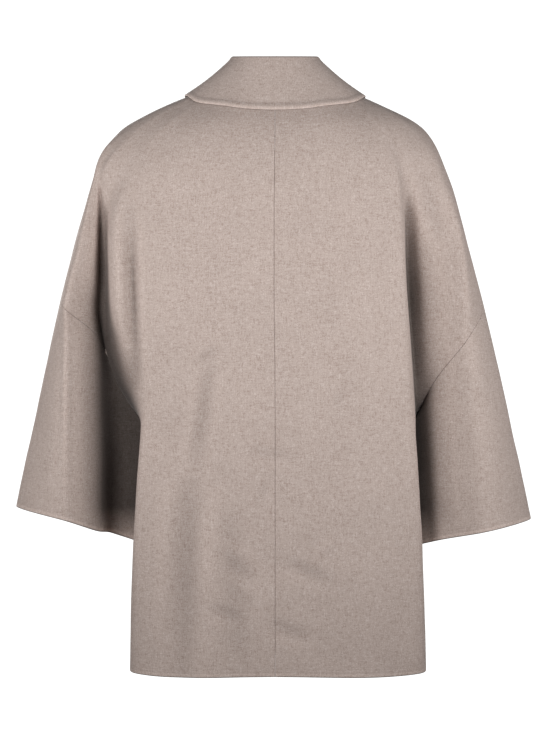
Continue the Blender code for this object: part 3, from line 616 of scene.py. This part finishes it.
class Skin:
    """The coat's outer face as a coarse cage: points, quads, each quad's piece and each point's lift."""

    def __init__(self):
        self.points = []
        self.lift = []
        self.quads = []
        self.tags = []
        self.underarms = []
        # the columns that the right side shares with the left one: of the upper coat, then of the body
        middles = []
        for side in SIDES:
            middles = self.add_side(side, middles)

    def add_row(self, side, section, kept, lapping=True):
        """Adds a section's points, apart from those that another row or side already has."""
        row = []
        for column, point in enumerate(section):
            if column not in kept:
                kept[column] = len(self.points)
                self.points.append(folded(point if side == "left" else mirrored(point)))
                self.lift.append(lap_lift(side, len(section) - 1 - column) if lapping else 0.0)
            row.append(kept[column])
        return row

    def add_side(self, side, middles):
        """Adds one side and gives back its columns down centre back and centre front."""
        last, over = line_column("centre_front"), line_column("over")
        valley, front_valley = line_column("valley"), line_column("front_valley")
        fan = []
        for k in range(FAN_ROWS + 1):
            even = k / FAN_ROWS
            # closer together at the neck and at the underarm
            share = even / 2 + (1 - math.cos(math.pi * even)) / 4
            kept = {0: middles[0][k], last: middles[1][k]} if middles else {}
            if k == FAN_ROWS:
                # both valleys end in the one underarm point
                kept[front_valley] = None
            fan.append(self.add_row(side, fan_section(side, share), kept))
        fan[-1][front_valley] = fan[-1][valley]
        body = [fan[-1][: valley + 1] + fan[-1][front_valley + 1 :]]
        end = len(body[0]) - 1
        for k in range(1, BODY_ROWS + 1):
            kept = {0: middles[2][k], end: middles[3][k]} if middles else {}
            body.append(self.add_row(side, body_section(side, (k / BODY_ROWS) ** BODY_ROWS_GATHER), kept))
        sleeve = [fan[-1][valley : front_valley + 1]]
        for k in range(1, SLEEVE_ROWS + 1):
            section = sleeve_section(side, (k / SLEEVE_ROWS) ** SLEEVE_ROWS_GATHER)
            row = self.add_row(side, section[:-1], {}, lapping=False)
            sleeve.append(row + [row[0]])
        self.underarms.append(sleeve[0][0])
        for rows, seam, middle in ((fan, over, last), (body, valley, end)):
            self.take(side, "back", rows, 0, seam)
            self.take(side, "front", rows, seam, middle - LAP_STRIPS)
            self.take(side, "lap", rows, middle - LAP_STRIPS, middle)
        self.take(side, "sleeve", sleeve, 0, front_valley - valley)
        return [[row[column] for row in rows] for rows in (fan, body) for column in (0, -1)]

    def take(self, side, piece, rows, first, last):
        """Gives a piece the quads of some rows between two columns, facing out."""
        for upper, lower in zip(rows, rows[1:]):
            for c in range(first, last):
                quad = [upper[c], upper[c + 1], lower[c + 1], lower[c]]
                self.quads.append(quad if side == "left" else quad[::-1])
                self.tags.append(TAGS.index(f"{piece}_{side}"))


def lap_lift(side, from_end):
    """How far the upper front lies above the lower one, a number of columns from centre front."""
    if from_end <= LAP_STRIPS:
        return LAP_LIFT
    return LAP_LIFT / 2 if side == "right" and from_end == LAP_STRIPS + 1 else 0.0


def all_values(items, name, kind=float):
    """One property of all items of a mesh as an array."""
    values = np.zeros(len(items) * (3 if name == "co" else 1), kind)
    items.foreach_get(name, values)
    return values


def keep_values(mesh, name, values, kind="FLOAT", domain="POINT"):
    """Keeps a value with each point or face of a mesh."""
    mesh.attributes.new(name, kind, domain).data.foreach_set("value", values)


def subdivided(points, quads, face_tags, point_values):
    """A cage as a finer, smoother skin: its points, quads, each quad's tag and each point's value."""
    mesh = bpy.data.meshes.new("cage")
    mesh.from_pydata([tuple(p) for p in points], [], [tuple(q) for q in quads])
    keep_values(mesh, "tag", face_tags, "INT", "FACE")
    keep_values(mesh, "worth", point_values)
    cage = shown("cage", mesh)
    smooth = cage.modifiers.new("finer", "SUBSURF")
    smooth.levels = smooth.render_levels = SKIN_LEVELS
    smooth.boundary_smooth = "PRESERVE_CORNERS"
    seen = cage.evaluated_get(bpy.context.evaluated_depsgraph_get())
    fine = seen.to_mesh()
    places = all_values(fine.vertices, "co").reshape(-1, 3)
    corners = all_values(fine.loops, "vertex_index", np.int64).reshape(-1, 4)
    tags = all_values(fine.attributes["tag"].data, "value", np.int32)
    worth = all_values(fine.attributes["worth"].data, "value", np.float32)
    seen.to_mesh_clear()
    bpy.data.objects.remove(cage)
    bpy.data.meshes.remove(mesh)
    return places, corners, tags, worth.astype(float)


def unit(rows):
    """Rows of vectors, each made one long."""
    return rows / np.maximum(np.linalg.norm(rows, axis=1), TINY)[:, None]


def soft_normals(points, quads, passes):
    """One normal a point, from the quads round it by their size, then evened out."""
    p = points[quads]
    flat = np.cross(p[:, 2] - p[:, 0], p[:, 3] - p[:, 1])
    normals = np.zeros_like(points)
    for corner in range(4):
        np.add.at(normals, quads[:, corner], flat)
    normals = unit(normals)
    for _ in range(passes):
        normals = unit(evened(normals, quads))
    return normals


def evened(values, quads):
    """Each point's value as the mean of those in the quads round it."""
    total = np.zeros_like(values)
    count = np.zeros(len(values))
    mean = values[quads].mean(axis=1)
    for corner in range(4):
        np.add.at(total, quads[:, corner], mean)
        np.add.at(count, quads[:, corner], 1.0)
    return total / count.reshape((-1,) + (1,) * (values.ndim - 1))


def crease_line(row):
    """The points of a crease's middle line across and up the cloth, bowed through its own middle point."""
    t = np.linspace(0, 1, CREASE_STEPS)[:, None]
    start, middle, end = np.reshape(row[:-2], (3, 2))
    handle = 2 * middle - (start + end) / 2
    return (1 - t) ** 2 * start + 2 * t * (1 - t) * handle + t * t * end


def crease_depths(points, rows):
    """How far the creases press each point in, in millimetres: a trough between two low ridges."""
    depth = np.zeros(len(points))
    across = points[:, (0, 2)]
    for row in rows:
        width, most = row[-2:]
        line = crease_line(row)
        low, high = line.min(axis=0) - CREASE_REACH * width, line.max(axis=0) + CREASE_REACH * width
        near = np.where(((across > low) & (across < high)).all(axis=1))[0]
        if not len(near):
            continue
        gap = across[near][:, None, :] - line[None, :, :]
        distance = np.sqrt((gap**2).sum(axis=2))
        closest = distance.argmin(axis=1)
        aside = distance.min(axis=1) / width
        along = closest / (CREASE_STEPS - 1)
        end = np.sin(math.pi * along) ** CREASE_END_POWER
        ridges = RIDGE_SHARE * np.exp(-((aside - RIDGE_PLACE) ** 2) / RIDGE_SPREAD)
        depth[near] += most * end * (np.exp(-(aside**2)) - ridges)
    return depth


def stretched_over(x, y, at):
    """The heights at some places of a line stretched over a row of points."""
    line = []
    for place, height in sorted(zip(x.tolist(), y.tolist())):
        while len(line) > 1:
            (x0, y0), (x1, y1) = line[-2:]
            if (x1 - x0) * (height - y0) < (y1 - y0) * (place - x0):
                break
            line.pop()
        line.append((place, height))
    return np.interp(at, *zip(*line))


def fold_depths(points):
    """How deep each point lies in the folds of its own height's outline: 0 on the outside, 1 right inside."""
    layers = np.round(points[:, 2] / FOLD_LAYER)
    depth = np.zeros(len(points))
    for layer in np.unique(layers):
        here = layers == layer
        x, y = points[np.abs(layers - layer) < 2, :2].T
        at, height = points[here, :2].T
        from_back, from_front = stretched_over(x, y, at) - height, stretched_over(x, -y, at) + height
        depth[here] = np.minimum.reduce((from_back, from_front, at.max() - at, at - at.min()))
    share = np.clip((depth - FOLD_FROM) / (FOLD_FULL - FOLD_FROM), 0.0, 1.0)
    return share * np.clip((points[:, 2] - CUFF_END) / CUFF_FADE, 0.0, 1.0)


def creased(points, normals):
    """The points with creases and a slight unevenness pressed in, and how deep the creases alone are, which
    also serves as painted shade.
    """
    facing = normals[:, 1]
    back = np.clip(facing / FACING_FULL, 0.0, 1.0)
    front = np.clip(-facing / FACING_FULL, 0.0, 1.0)
    # These crease depths also darken the wool as painted shade in the troughs, and lighten it on the low
    # ridges beside them.
    creases_and_shade = back * crease_depths(points, BACK_CREASES) + front * crease_depths(points, FRONT_CREASES)
    depth = creases_and_shade.copy()
    for size, most, seed in UNEVENNESS:
        shift = Vector((seed, seed, seed))
        depth += most * np.array([noise.noise(Vector(p) / size + shift) for p in points])
    return points - normals * depth[:, None], creases_and_shade


@functools.lru_cache(maxsize=1)
def coat_skin():
    """The coat's outer face, fine and creased: quads, tags, lift, sewn sides, and values of its points."""
    cage = Skin()
    points, quads, tags, lift = subdivided(cage.points, cage.quads, cage.tags, cage.lift)
    normals = soft_normals(points, quads, NORMAL_PASSES)
    points, creases_and_shade = creased(points, normals)
    # Painted shade deep inside the folds, deeper than the shade their shape gives.
    creases_and_shade += FOLD_WORTH * fold_depths(points)
    # A painted shadow below the collar, fading downwards.
    creases_and_shade += YOKE_WORTH * np.exp((np.minimum(points[:, 2], YOKE_TOP) - YOKE_TOP) / YOKE_FADE)
    walls = np.full(len(points), WALL)
    for i in cage.underarms:
        away = np.linalg.norm(points - points[i], axis=1) / UNDERARM_REACH
        walls -= (WALL - UNDERARM_WALL) * np.exp(-(away**4))
    for _ in range(LIFT_PASSES):
        lift = evened(lift, quads)
    return quads, tags, lift, sewn_numbers(quads, tags), (points, normals, walls, creases_and_shade)


def side_numbers(sides):
    """A number for each side, the same for both ways along it."""
    low, high = np.sort(sides, axis=1).astype(np.int64).T
    return low * NUMBER_STEP + high


def quad_sides(quads):
    """Every side of every quad as it turns."""
    return np.concatenate([np.stack([quads[:, k], quads[:, (k + 1) % 4]], axis=1) for k in range(4)])


def border_sides(quads):
    """The sides that only one quad has, as they turn, and the quad of each."""
    sides = quad_sides(quads)
    _, first, count = np.unique(side_numbers(sides), return_index=True, return_counts=True)
    alone = first[count == 1]
    return sides[alone], alone % len(quads)


def sewn_numbers(quads, tags):
    """The numbers of the sides where two pieces are sewn together. The two fronts only lap."""
    groups = ["front" if tag.startswith(("front", "lap")) else tag for tag in TAGS]
    owner = np.tile(np.array([groups.index(groups[t]) for t in tags]), 4)
    numbers = side_numbers(quad_sides(quads))
    order = np.argsort(numbers, kind="stable")
    numbers, owner = numbers[order], owner[order]
    pair = numbers[1:] == numbers[:-1]
    return set(numbers[1:][pair & (owner[1:] != owner[:-1])].tolist())


def inward_ways(points, quads, sides, side_quads):
    """For each border point the way into its piece along the cloth, long enough to move its sides by one."""
    along = unit(points[sides[:, 1]] - points[sides[:, 0]])
    into = points[quads[side_quads]].mean(axis=1) - points[sides[:, 0]]
    into = unit(into - along * (into * along).sum(axis=1)[:, None])
    total = np.zeros_like(points)
    for end in (0, 1):
        np.add.at(total, sides[:, end], into)
    size = np.linalg.norm(total, axis=1)
    return unit(total) * np.where(size > 0, 2 / np.maximum(size, 2 * MITRE_LIMIT), 0.0)[:, None]


def edge_profiles(wall):
    """How the cloth turns at an open edge and at a seam: steps from its outer face to its inner one."""
    radius = wall / 2
    turns = np.linspace(0, math.pi, EDGE_STEPS)
    open_edge = [(radius * (1 - math.sin(a)), radius * (1 - math.cos(a))) for a in turns]
    return np.array(open_edge), np.array([(inset, min(depth, wall)) for inset, depth in SEAM_PROFILE])


def wall_mesh(name, quads, sewn, *values):
    """A closed wall of cloth under some quads of a skin, rounded at open edges and rolled in at seams.

    The values are the points and their normals, the wall's thickness there and how much painted shade they
    carry, in millimetres of crease.
    """
    used, index = np.unique(quads, return_inverse=True)
    quads = index.reshape(-1, 4)
    points, normals, walls, creases_and_shade = (value[used] for value in values)
    sides, side_quads = border_sides(quads)
    is_sewn = np.array([number in sewn for number in side_numbers(used[sides]).tolist()], bool)
    ways = inward_ways(points, quads, sides, side_quads)
    seam_points = set(sides[is_sewn].ravel().tolist())
    border = np.unique(sides)
    profiles = [edge_profiles(walls[i])[int(i in seam_points)] for i in border.tolist()]
    rings = np.zeros((EDGE_STEPS, len(points)), np.int64)
    places = [points.copy(), points - normals * walls[:, None]]
    for k in range(EDGE_STEPS):
        inset, depth = np.array([profile[k] for profile in profiles]).T[:, :, None]
        moved = points[border] + ways[border] * inset - normals[border] * depth
        if k in (0, EDGE_STEPS - 1):
            face = min(k, 1)
            places[face][border] = moved
            rings[k] = np.arange(len(points)) + face * len(points)
        else:
            rings[k][border] = sum(len(p) for p in places) + np.arange(len(border))
            places.append(moved)
    faces = [quads, quads[:, ::-1] + len(points)]
    a, b = sides.T
    for upper, lower in zip(rings, rings[1:]):
        faces.append(np.stack([upper[b], upper[a], lower[a], lower[b]], axis=1))
    mesh = bpy.data.meshes.new(name)
    mesh.from_pydata((np.concatenate(places) * MM).tolist(), [], np.concatenate(faces).tolist())
    mesh.shade_smooth()
    for word, of_line in (("edge_mm", ~is_sewn), ("seam_mm", is_sewn)):
        keep_values(mesh, word, distances(mesh, points[np.unique(sides[of_line])]))
    # Painted shade on the outer face and round the edges, none on the inner face.
    deep = [creases_and_shade, 0 * creases_and_shade] + [creases_and_shade[border]] * (EDGE_STEPS - 2)
    keep_values(mesh, "painted_shade_mm", np.concatenate(deep))
    return mesh


def distances(mesh, line):
    """How far each point of a mesh is from the nearest point of a line, in millimetres."""
    tree = kdtree.KDTree(len(line))
    for k, point in enumerate(line):
        tree.insert(point, k)
    tree.balance()
    found = [tree.find(v.co / MM)[2] for v in mesh.vertices]
    return np.array([FAR_MM if far is None else min(far, FAR_MM) for far in found], np.float32)


def shown(name, data):
    """A new object in the scene."""
    thing = bpy.data.objects.new(name, data)
    bpy.context.scene.collection.objects.link(thing)
    return thing


def cut_piece(node):
    """One cut piece of the coat: its share of the skin as a wall of cloth, in its node's place."""
    quads, tags, lift, sewn, (points, normals, walls, creases_and_shade) = coat_skin()
    own = (node, "lap_left", "lap_right") if node.startswith("front") else (node,)
    wanted = [TAGS.index(tag) for tag in own]
    if node == "front_right":
        points = points + normals * lift[:, None]
    mesh = wall_mesh(f"cloth_{node}", quads[np.isin(tags, wanted)], sewn, points, normals, walls, creases_and_shade)
    dress(mesh, wool_body(), node)


def dress(mesh, material, node):
    """A cloth mesh as a piece of the coat that stands for its node."""
    mesh.materials.append(material)
    piece = shown(mesh.name, mesh)
    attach(piece, "root")
    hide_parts(node)


def roll_point(angle):
    """The middle of the collar's roll at an angle round the neck."""
    turn = math.radians(angle)
    x, along = ROLL_HALF_WIDTH * math.sin(turn), math.cos(turn)
    if angle <= 90:
        return np.array((x, ROLL_BACK * along, ROLL_HEIGHT + (ROLL_BACK_HEIGHT - ROLL_HEIGHT) * along))
    sunk = ((angle - 90) / 90) ** ROLL_SINK_POWER
    height = ROLL_HEIGHT + (ROLL_FRONT_HEIGHT - ROLL_HEIGHT) * sunk
    return np.array((x * (1 - ROLL_NARROWING * sunk), ROLL_FRONT * along, height))


def coat_frame(side, angle, share):
    """A point of the upper coat and its normal, on the column that starts at an angle on the neck seam."""
    columns = [line_column(name) for name in NAMES]
    column = np.interp(angle, ANGLES, columns)

    def at(step, down):
        section = fan_section(side, min(max(share + down, 0.0), 1.0))
        place = min(max(column + step, 0.0), columns[-1])
        low = min(int(place), columns[-1] - 1)
        part = place - low
        return section[low] * (1 - part) + section[low + 1] * part

    across = at(0.5, 0) - at(-0.5, 0)
    down = at(0, PROBE) - at(0, -PROBE if share > PROBE else 0.0)
    normal = np.cross(across, down)
    return at(0, 0), normal / np.linalg.norm(normal)


def collar_path(side, angle):
    """The middle of the collar's wall at an angle round the neck, from its foot over the roll to its edge."""
    seam, seam_normal = coat_frame(side, angle, 0.0)
    below, _ = coat_frame(side, angle, PROBE)
    rise = (seam - below) / np.linalg.norm(seam - below)
    foot = seam - seam_normal * WALL / 2 + rise * FOOT_RISE
    roll = roll_point(angle)
    spread = max(0.0, angle - 90) / (COLLAR_END_ANGLE - 90)
    edge_angle = angle + (POINT_ANGLE - COLLAR_END_ANGLE) * spread**3
    edge, edge_normal = coat_frame(side, edge_angle, table_row(FALL, edge_angle)[0])
    lift = np.interp(angle, (LIFT_FROM_ANGLE, LIFT_TO_ANGLE), (FALL_LIFT_BACK, FALL_LIFT_FRONT))
    edge = edge + edge_normal * (lift + WALL / 2)
    up = np.array((0.0, 0.0, 1.0))
    out = edge - foot
    out[2] = 0.0
    out /= np.linalg.norm(out)
    stand_top = roll - out * ROLL_RADIUS - up * ROLL_RADIUS
    fall_top = roll + out * ROLL_RADIUS - up * ROLL_RADIUS
    path = [foot + (stand_top - foot) * i / COLLAR_STAND_STEPS for i in range(COLLAR_STAND_STEPS)]
    for i in range(COLLAR_ROLL_STEPS + 1):
        turn = math.pi * i / COLLAR_ROLL_STEPS
        round_it = up * ROLL_RADIUS * math.sin(turn) - out * ROLL_RADIUS * math.cos(turn)
        path.append(roll - up * ROLL_RADIUS + round_it)
    down = edge - fall_top
    length = np.linalg.norm(down)
    inward = (out * down[2] - up * (down @ out)) / length * FALL_HOLLOW * math.sin(math.radians(angle))
    for i in range(1, COLLAR_FALL_STEPS + 1):
        part = i / COLLAR_FALL_STEPS
        path.append(fall_top + down * part + inward * math.sin(math.pi * part))
    return np.array(path)


def collar_mesh():
    """The collar: a strip that stands up from the neck seam, rolls over and lies on the shoulders."""
    back = np.linspace(0, 90, COLLAR_BACK_COLUMNS + 1)
    front = np.linspace(90, COLLAR_END_ANGLE, COLLAR_FRONT_COLUMNS + 1)[1:]
    left, right = (np.array([collar_path(side, angle) for angle in (*back, *front)]) for side in SIDES)
    right = mirrored(right)
    paths = np.array([*right[:0:-1], (left[0] + right[0]) / 2, *left[1:]])
    columns, steps = paths.shape[:2]
    quads = [
        (i * steps + j, i * steps + j + 1, (i + 1) * steps + j + 1, (i + 1) * steps + j)
        for i in range(columns - 1)
        for j in range(steps - 1)
    ]
    cage = paths.reshape(-1, 3)
    points, quads, _, none = subdivided(cage, quads, [0] * len(quads), [0.0] * len(cage))
    normals = soft_normals(points, quads, COLLAR_NORMAL_PASSES)
    sides, _ = border_sides(quads)
    away = np.linalg.norm(points[sides][:, :, None] - paths[:, 0], axis=3).min(axis=2).max(axis=1)
    foot = set(side_numbers(sides[away < FOOT_NEAR]).tolist())
    return wall_mesh("cloth_collar", quads, foot, points + normals * WALL / 2, normals, none + WALL, none)


class Value:
    """A socket of a shader graph that can be used in sums: each operator adds its Math node."""

    def __init__(self, graph, socket):
        self.graph = graph
        self.socket = socket

    def maths(self, operation, *terms):
        return self.graph.node("ShaderNodeMath", {"operation": operation}, dict(enumerate(terms or (self,))))

    def __add__(self, other):
        return self.maths("ADD", self, other)

    def __sub__(self, other):
        return self.maths("SUBTRACT", self, other)

    def __rsub__(self, other):
        return self.maths("SUBTRACT", other, self)

    def __mul__(self, other):
        return self.maths("MULTIPLY", self, other)

    def __truediv__(self, other):
        return self.maths("DIVIDE", self, other)

    __radd__ = __add__
    __rmul__ = __mul__


class Graph:
    """A material's nodes, ending in one Principled shader."""

    def __init__(self, name):
        self.material = bpy.data.materials.new(name)
        self.material.use_nodes = True
        self.tree = self.material.node_tree
        self.shader = self.tree.nodes["Principled BSDF"]

    def node(self, kind, settings=None, inputs=None, output=0):
        """Adds a node: its settings first, then values or links for its sockets, by name or number."""
        made = self.tree.nodes.new(kind)
        for key, value in (settings or {}).items():
            setattr(made, key, value)
        for key, value in (inputs or {}).items():
            if isinstance(value, Value):
                self.tree.links.new(value.socket, made.inputs[key])
            else:
                made.inputs[key].default_value = value
        return Value(self, made.outputs[output])

    def noise(self, size, detail=2.0, stretch=(1.0, 1.0, 1.0)):
        """Noise whose blotches are about size metres across, drawn out along the axes by stretch."""
        place = self.node("ShaderNodeTexCoord", output="Object")
        scale = tuple(1 / (size * s) for s in stretch)
        scaled = self.node("ShaderNodeVectorMath", {"operation": "MULTIPLY"}, {0: place, 1: scale})
        return self.node("ShaderNodeTexNoise", None, {"Vector": scaled, "Scale": 1.0, "Detail": detail})

    def attribute(self, name):
        return self.node("ShaderNodeAttribute", {"attribute_name": name}, output="Fac")

    def smooth(self, value, low, high):
        """0 below low, 1 above high and a smooth step between."""
        ends = {"Value": value, "From Min": low, "From Max": high}
        return self.node("ShaderNodeMapRange", {"interpolation_type": "SMOOTHSTEP"}, ends)

    def mix(self, share, first, second):
        """A colour between two, by share: the node's sockets 6 and 7, and its result 2."""
        return self.node("ShaderNodeMix", {"data_type": "RGBA"}, {0: share, 6: first, 7: second}, output=2)

    def scaled(self, colour, by):
        """A colour made lighter or darker by a value."""
        return self.node("ShaderNodeVectorMath", {"operation": "SCALE"}, {0: colour, "Scale": by})

    def bump(self, height, distance, **more):
        inputs = {"Height": height, "Distance": distance, "Strength": 1.0, **more}
        return self.node("ShaderNodeBump", None, inputs)

    def finish(self, varied, constant):
        """Feeds what varies over the surface and sets what is the same all over it."""
        for key, value in varied.items():
            self.tree.links.new(value.socket, self.shader.inputs[key])
        for key, value in constant.items():
            self.shader.inputs[key].default_value = value
        return self.material


def colour(values):
    """Red, green and blue as a colour of a node's socket."""
    return (*values, 1.0)


def wool_finish(name, turning):
    """Double-faced wool: a melange of pale and dark fibres over a close twill, with a short brushed nap.

    Turning is how far its stitched-down edges show, groove and painted shade alike, as a share.
    """
    wool = bpy.context.scene.coat_wool
    g = Graph(name)
    upright = g.noise(wool.thread, 1.0, (1.0, 1.0, THREAD_LENGTH))
    level = g.noise(wool.thread, 1.0, (THREAD_LENGTH, THREAD_LENGTH, 1.0))
    fibre = g.noise(wool.fibre, 3.0)
    nap = g.noise(wool.nap, 3.0, (1.0, 1.0, NAP_LENGTH))
    cloud = g.noise(wool.cloud, 2.0)
    weave = (upright + level) * 0.5
    pale = g.smooth(fibre * PALE_FIBRE + weave * (1 - PALE_FIBRE), *PALE_BETWEEN)
    dark = g.smooth(fibre * DARK_FIBRE + weave * (1 - DARK_FIBRE), *DARK_BETWEEN)
    base = g.mix(pale * wool.melange, colour(wool.main), colour(wool.pale))
    base = g.mix(dark * wool.melange, base, colour(wool.dark))
    shade = 1 + (cloud - 0.5) * CLOUD_SHARE + (nap - 0.5) * NAP_SHARE
    edge = g.attribute("edge_mm")
    # A painted highlight along the rolled open edges.
    rim = g.smooth(edge, *EDGE_LIGHT_FROM) - g.smooth(edge, *EDGE_LIGHT_TO)
    # Painted shade right at the open edges, where the cloth turns under.
    end = 1 - g.smooth(edge, *EDGE_DARK_TO)
    crease = 1 - g.smooth(g.attribute("seam_mm"), *SEAM_DARK_TO)
    turn = (edge - HEM_TURN_MM) / HEM_TURN_SPREAD
    # The stitched line's groove: a bump, and painted shade in it.
    turned = (turn * turn * -1.0).maths("EXPONENT") * turning
    dim = end * EDGE_DARK + crease * SEAM_DARK + turned * HEM_TURN_DARK
    # Painted shade in the creases, deep inside folds and below the collar.
    dim = dim + g.attribute("painted_shade_mm") * PAINTED_SHADE_PER_MM
    base = g.scaled(base, shade + rim * EDGE_LIGHT - dim)
    step = g.smooth(edge, *HEM_STEP_BETWEEN)
    fine = g.bump(weave * WEAVE_SHARE + fibre * FIBRE_SHARE + nap * NAP_RELIEF_SHARE, RELIEF)
    form = turned * -HEM_GROOVE - step * HEM_STEP + cloud * CLOUD_RELIEF
    rough = wool.roughness + (nap - 0.5) * NAP_ROUGHNESS - pale * PALE_GLOSS
    return g.finish(
        {"Base Color": base, "Roughness": rough, "Normal": g.bump(form, 1.0, Normal=fine)},
        {
            "Specular IOR Level": SPECULAR,
            "Sheen Weight": wool.sheen,
            "Sheen Roughness": SHEEN_ROUGHNESS,
            "Sheen Tint": colour(wool.nap_tint),
        },
    )


@functools.lru_cache(maxsize=1)
def wool_body():
    return wool_finish("wool", BODY_TURNING)


def floor(height):
    """The floor under the coat: plain pale paper that fades out towards its rim."""
    g = Graph("floor")
    place = g.node("ShaderNodeTexCoord", output="Object")
    from_middle = g.node("ShaderNodeVectorMath", {"operation": "LENGTH"}, {0: place}, output="Value")
    base = g.mix(g.noise(FLOOR_PATCH, 1.0), *(colour((shade,) * 3) for shade in FLOOR_SHADES))
    there = (1 - g.smooth(from_middle, FLOOR_FULL, FLOOR_RADIUS)) * FLOOR_DENSITY
    bpy.ops.mesh.primitive_circle_add(
        vertices=FLOOR_SIDES, radius=FLOOR_RADIUS, fill_type="NGON", location=(0.0, 0.0, height)
    )
    thing = bpy.context.object
    thing.name = "floor"
    paper = g.finish({"Base Color": base, "Alpha": there}, {"Roughness": FLOOR_ROUGHNESS})
    thing.data.materials.append(paper)


def studio_lamps(watts):
    """Soft boxes round the coat: two on its back, one on each side and one on its front."""
    for name, angle, away, height, size, share in LAMPS:
        turn = math.radians(angle)
        light = bpy.data.lights.new(name, "AREA")
        light.shape = "DISK"
        light.size = size
        light.spread = math.radians(LIGHT_SPREAD)
        light.energy = watts * share
        lamp = shown(name, light)
        lamp.visible_camera = False
        lamp.location = (away * math.sin(turn), away * math.cos(turn), height)
        lamp.rotation_euler = (Vector(LIGHT_AIM) - lamp.location).to_track_quat("-Z", "Y").to_euler()


def photo_camera():
    """A camera level with the middle of the picture, square on to the back."""
    camera = bpy.data.cameras.new("camera")
    camera.sensor_fit = "VERTICAL"
    camera.sensor_height = SENSOR
    camera.lens = SENSOR * CAMERA_AWAY / (PICTURE_HEIGHT * SCALE_AT_COAT)
    camera.clip_end = CAMERA_FAR
    thing = shown("camera", camera)
    thing.location = (0.0, CAMERA_AWAY, CAMERA_HEIGHT)
    thing.rotation_euler = (math.radians(90), 0.0, math.radians(180))
    bpy.context.scene.camera = thing


def room_light(strength):
    """A room that looks white and lights the coat only a little."""
    world = bpy.data.worlds.new("room")
    world.use_nodes = True
    nodes, links = world.node_tree.nodes, world.node_tree.links
    kinds = ("ShaderNodeBackground", "ShaderNodeLightPath", "ShaderNodeMixShader")
    seen, path, either = (nodes.new(kind) for kind in kinds)
    lit = nodes["Background"]
    lit.inputs["Strength"].default_value = strength
    links.new(path.outputs["Is Camera Ray"], either.inputs[0])
    for number, background in enumerate((lit, seen), 1):
        background.inputs["Color"].default_value = (1.0, 1.0, 1.0, 1.0)
        links.new(background.outputs[0], either.inputs[number])
    links.new(either.outputs[0], nodes["World Output"].inputs["Surface"])
    bpy.context.scene.world = world


def wool_colour(name, description, default):
    return FloatVectorProperty(name=name, description=description, subtype="COLOR", default=default)


def wool_size(name, description, default):
    return FloatProperty(name=name, description=description, unit="LENGTH", default=default)


class CoatWool(bpy.types.PropertyGroup):
    """The colours of the wool and the sizes of its threads, fibres and nap"""

    main: wool_colour("Main", "Colour of most fibres", (0.46, 0.381, 0.345))
    pale: wool_colour("Pale", "Colour of the palest fibres", (0.60, 0.526, 0.494))
    dark: wool_colour("Dark", "Colour of the darkest fibres", (0.33, 0.257, 0.225))
    nap_tint: wool_colour("Nap Tint", "Colour of the sheen on the nap", (0.95, 0.90, 0.87))
    melange: FloatProperty(name="Melange", description="How far single fibres stand out", default=0.75)
    sheen: FloatProperty(name="Sheen", description="How much light the nap catches", default=0.18)
    roughness: FloatProperty(name="Roughness", description="How matt the wool is", default=0.86)
    thread: wool_size("Thread", "Width of a thread", 0.0016)
    fibre: wool_size("Fibre", "Width of a tuft of fibres", 0.0013)
    nap: wool_size("Nap", "Width of a streak of the nap", 0.006)
    cloud: wool_size("Cloud", "Size of the uneven patches", 0.06)


class CoatStage(bpy.types.PropertyGroup):
    """Where the floor is and how strong the studio light is"""

    floor: FloatProperty(name="Floor", description="Height of the floor", unit="LENGTH", default=-1.3)
    lamp: FloatProperty(name="Lamps", description="Power of a soft box", unit="POWER", default=4.5)
    room: FloatProperty(name="Room", description="Strength of the light all round", default=0.02)


class PairOfPieces:
    """Makes a cut piece on either side"""

    def execute(self, context):
        for side in SIDES:
            cut_piece(f"{self.piece}_{side}")
        return {"FINISHED"}


class COAT_OT_backs(PairOfPieces, bpy.types.Operator):
    """Makes the two halves of the back, each cut in one with its upper sleeve"""

    bl_idname = "coat.backs"
    bl_label = "Backs"
    piece = "back"


class COAT_OT_fronts(PairOfPieces, bpy.types.Operator):
    """Makes the two fronts, the right one lapping over the left one"""

    bl_idname = "coat.fronts"
    bl_label = "Fronts"
    piece = "front"


class COAT_OT_sleeves(PairOfPieces, bpy.types.Operator):
    """Makes the two lower sleeves, sewn on along their slanting seams"""

    bl_idname = "coat.sleeves"
    bl_label = "Lower Sleeves"
    piece = "sleeve"


class COAT_OT_collar(bpy.types.Operator):
    """Makes the turned-down collar"""

    bl_idname = "coat.collar"
    bl_label = "Collar"

    def execute(self, context):
        dress(collar_mesh(), wool_finish("wool_collar", COLLAR_TURNING), "collar")
        return {"FINISHED"}


class COAT_OT_stage(bpy.types.Operator):
    """Makes the floor, the studio light and the camera"""

    bl_idname = "coat.stage"
    bl_label = "Stage"

    def execute(self, context):
        stage = context.scene.coat_stage
        floor(stage.floor)
        room_light(stage.room)
        studio_lamps(stage.lamp)
        photo_camera()
        context.scene.view_settings.view_transform = "Standard"
        context.scene.view_settings.look = "Medium High Contrast"
        return {"FINISHED"}


class COAT_PT_panel(bpy.types.Panel):
    """Lists the steps that make the coat"""

    bl_label = "Cape Coat"
    bl_idname = "COAT_PT_panel"
    bl_space_type = "VIEW_3D"
    bl_region_type = "UI"
    bl_category = "Coat"

    def draw(self, context):
        for step in STEPS:
            self.layout.operator(step.bl_idname)
        for group in (context.scene.coat_wool, context.scene.coat_stage):
            for name in group.__annotations__:
                self.layout.prop(group, name)


STEPS = (COAT_OT_stage, COAT_OT_backs, COAT_OT_fronts, COAT_OT_sleeves, COAT_OT_collar)
CLASSES = (CoatWool, CoatStage, *STEPS, COAT_PT_panel)


def register():
    for each in CLASSES:
        bpy.utils.register_class(each)
    bpy.types.Scene.coat_wool = PointerProperty(type=CoatWool)
    bpy.types.Scene.coat_stage = PointerProperty(type=CoatStage)


def unregister():
    del bpy.types.Scene.coat_stage
    del bpy.types.Scene.coat_wool
    for each in reversed(CLASSES):
        bpy.utils.unregister_class(each)


def main():
    register()
    bpy.ops.coat.stage()
    bpy.ops.coat.backs()
    bpy.ops.coat.fronts()
    bpy.ops.coat.sleeves()
    bpy.ops.coat.collar()
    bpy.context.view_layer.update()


if __name__ == "__main__":
    main()
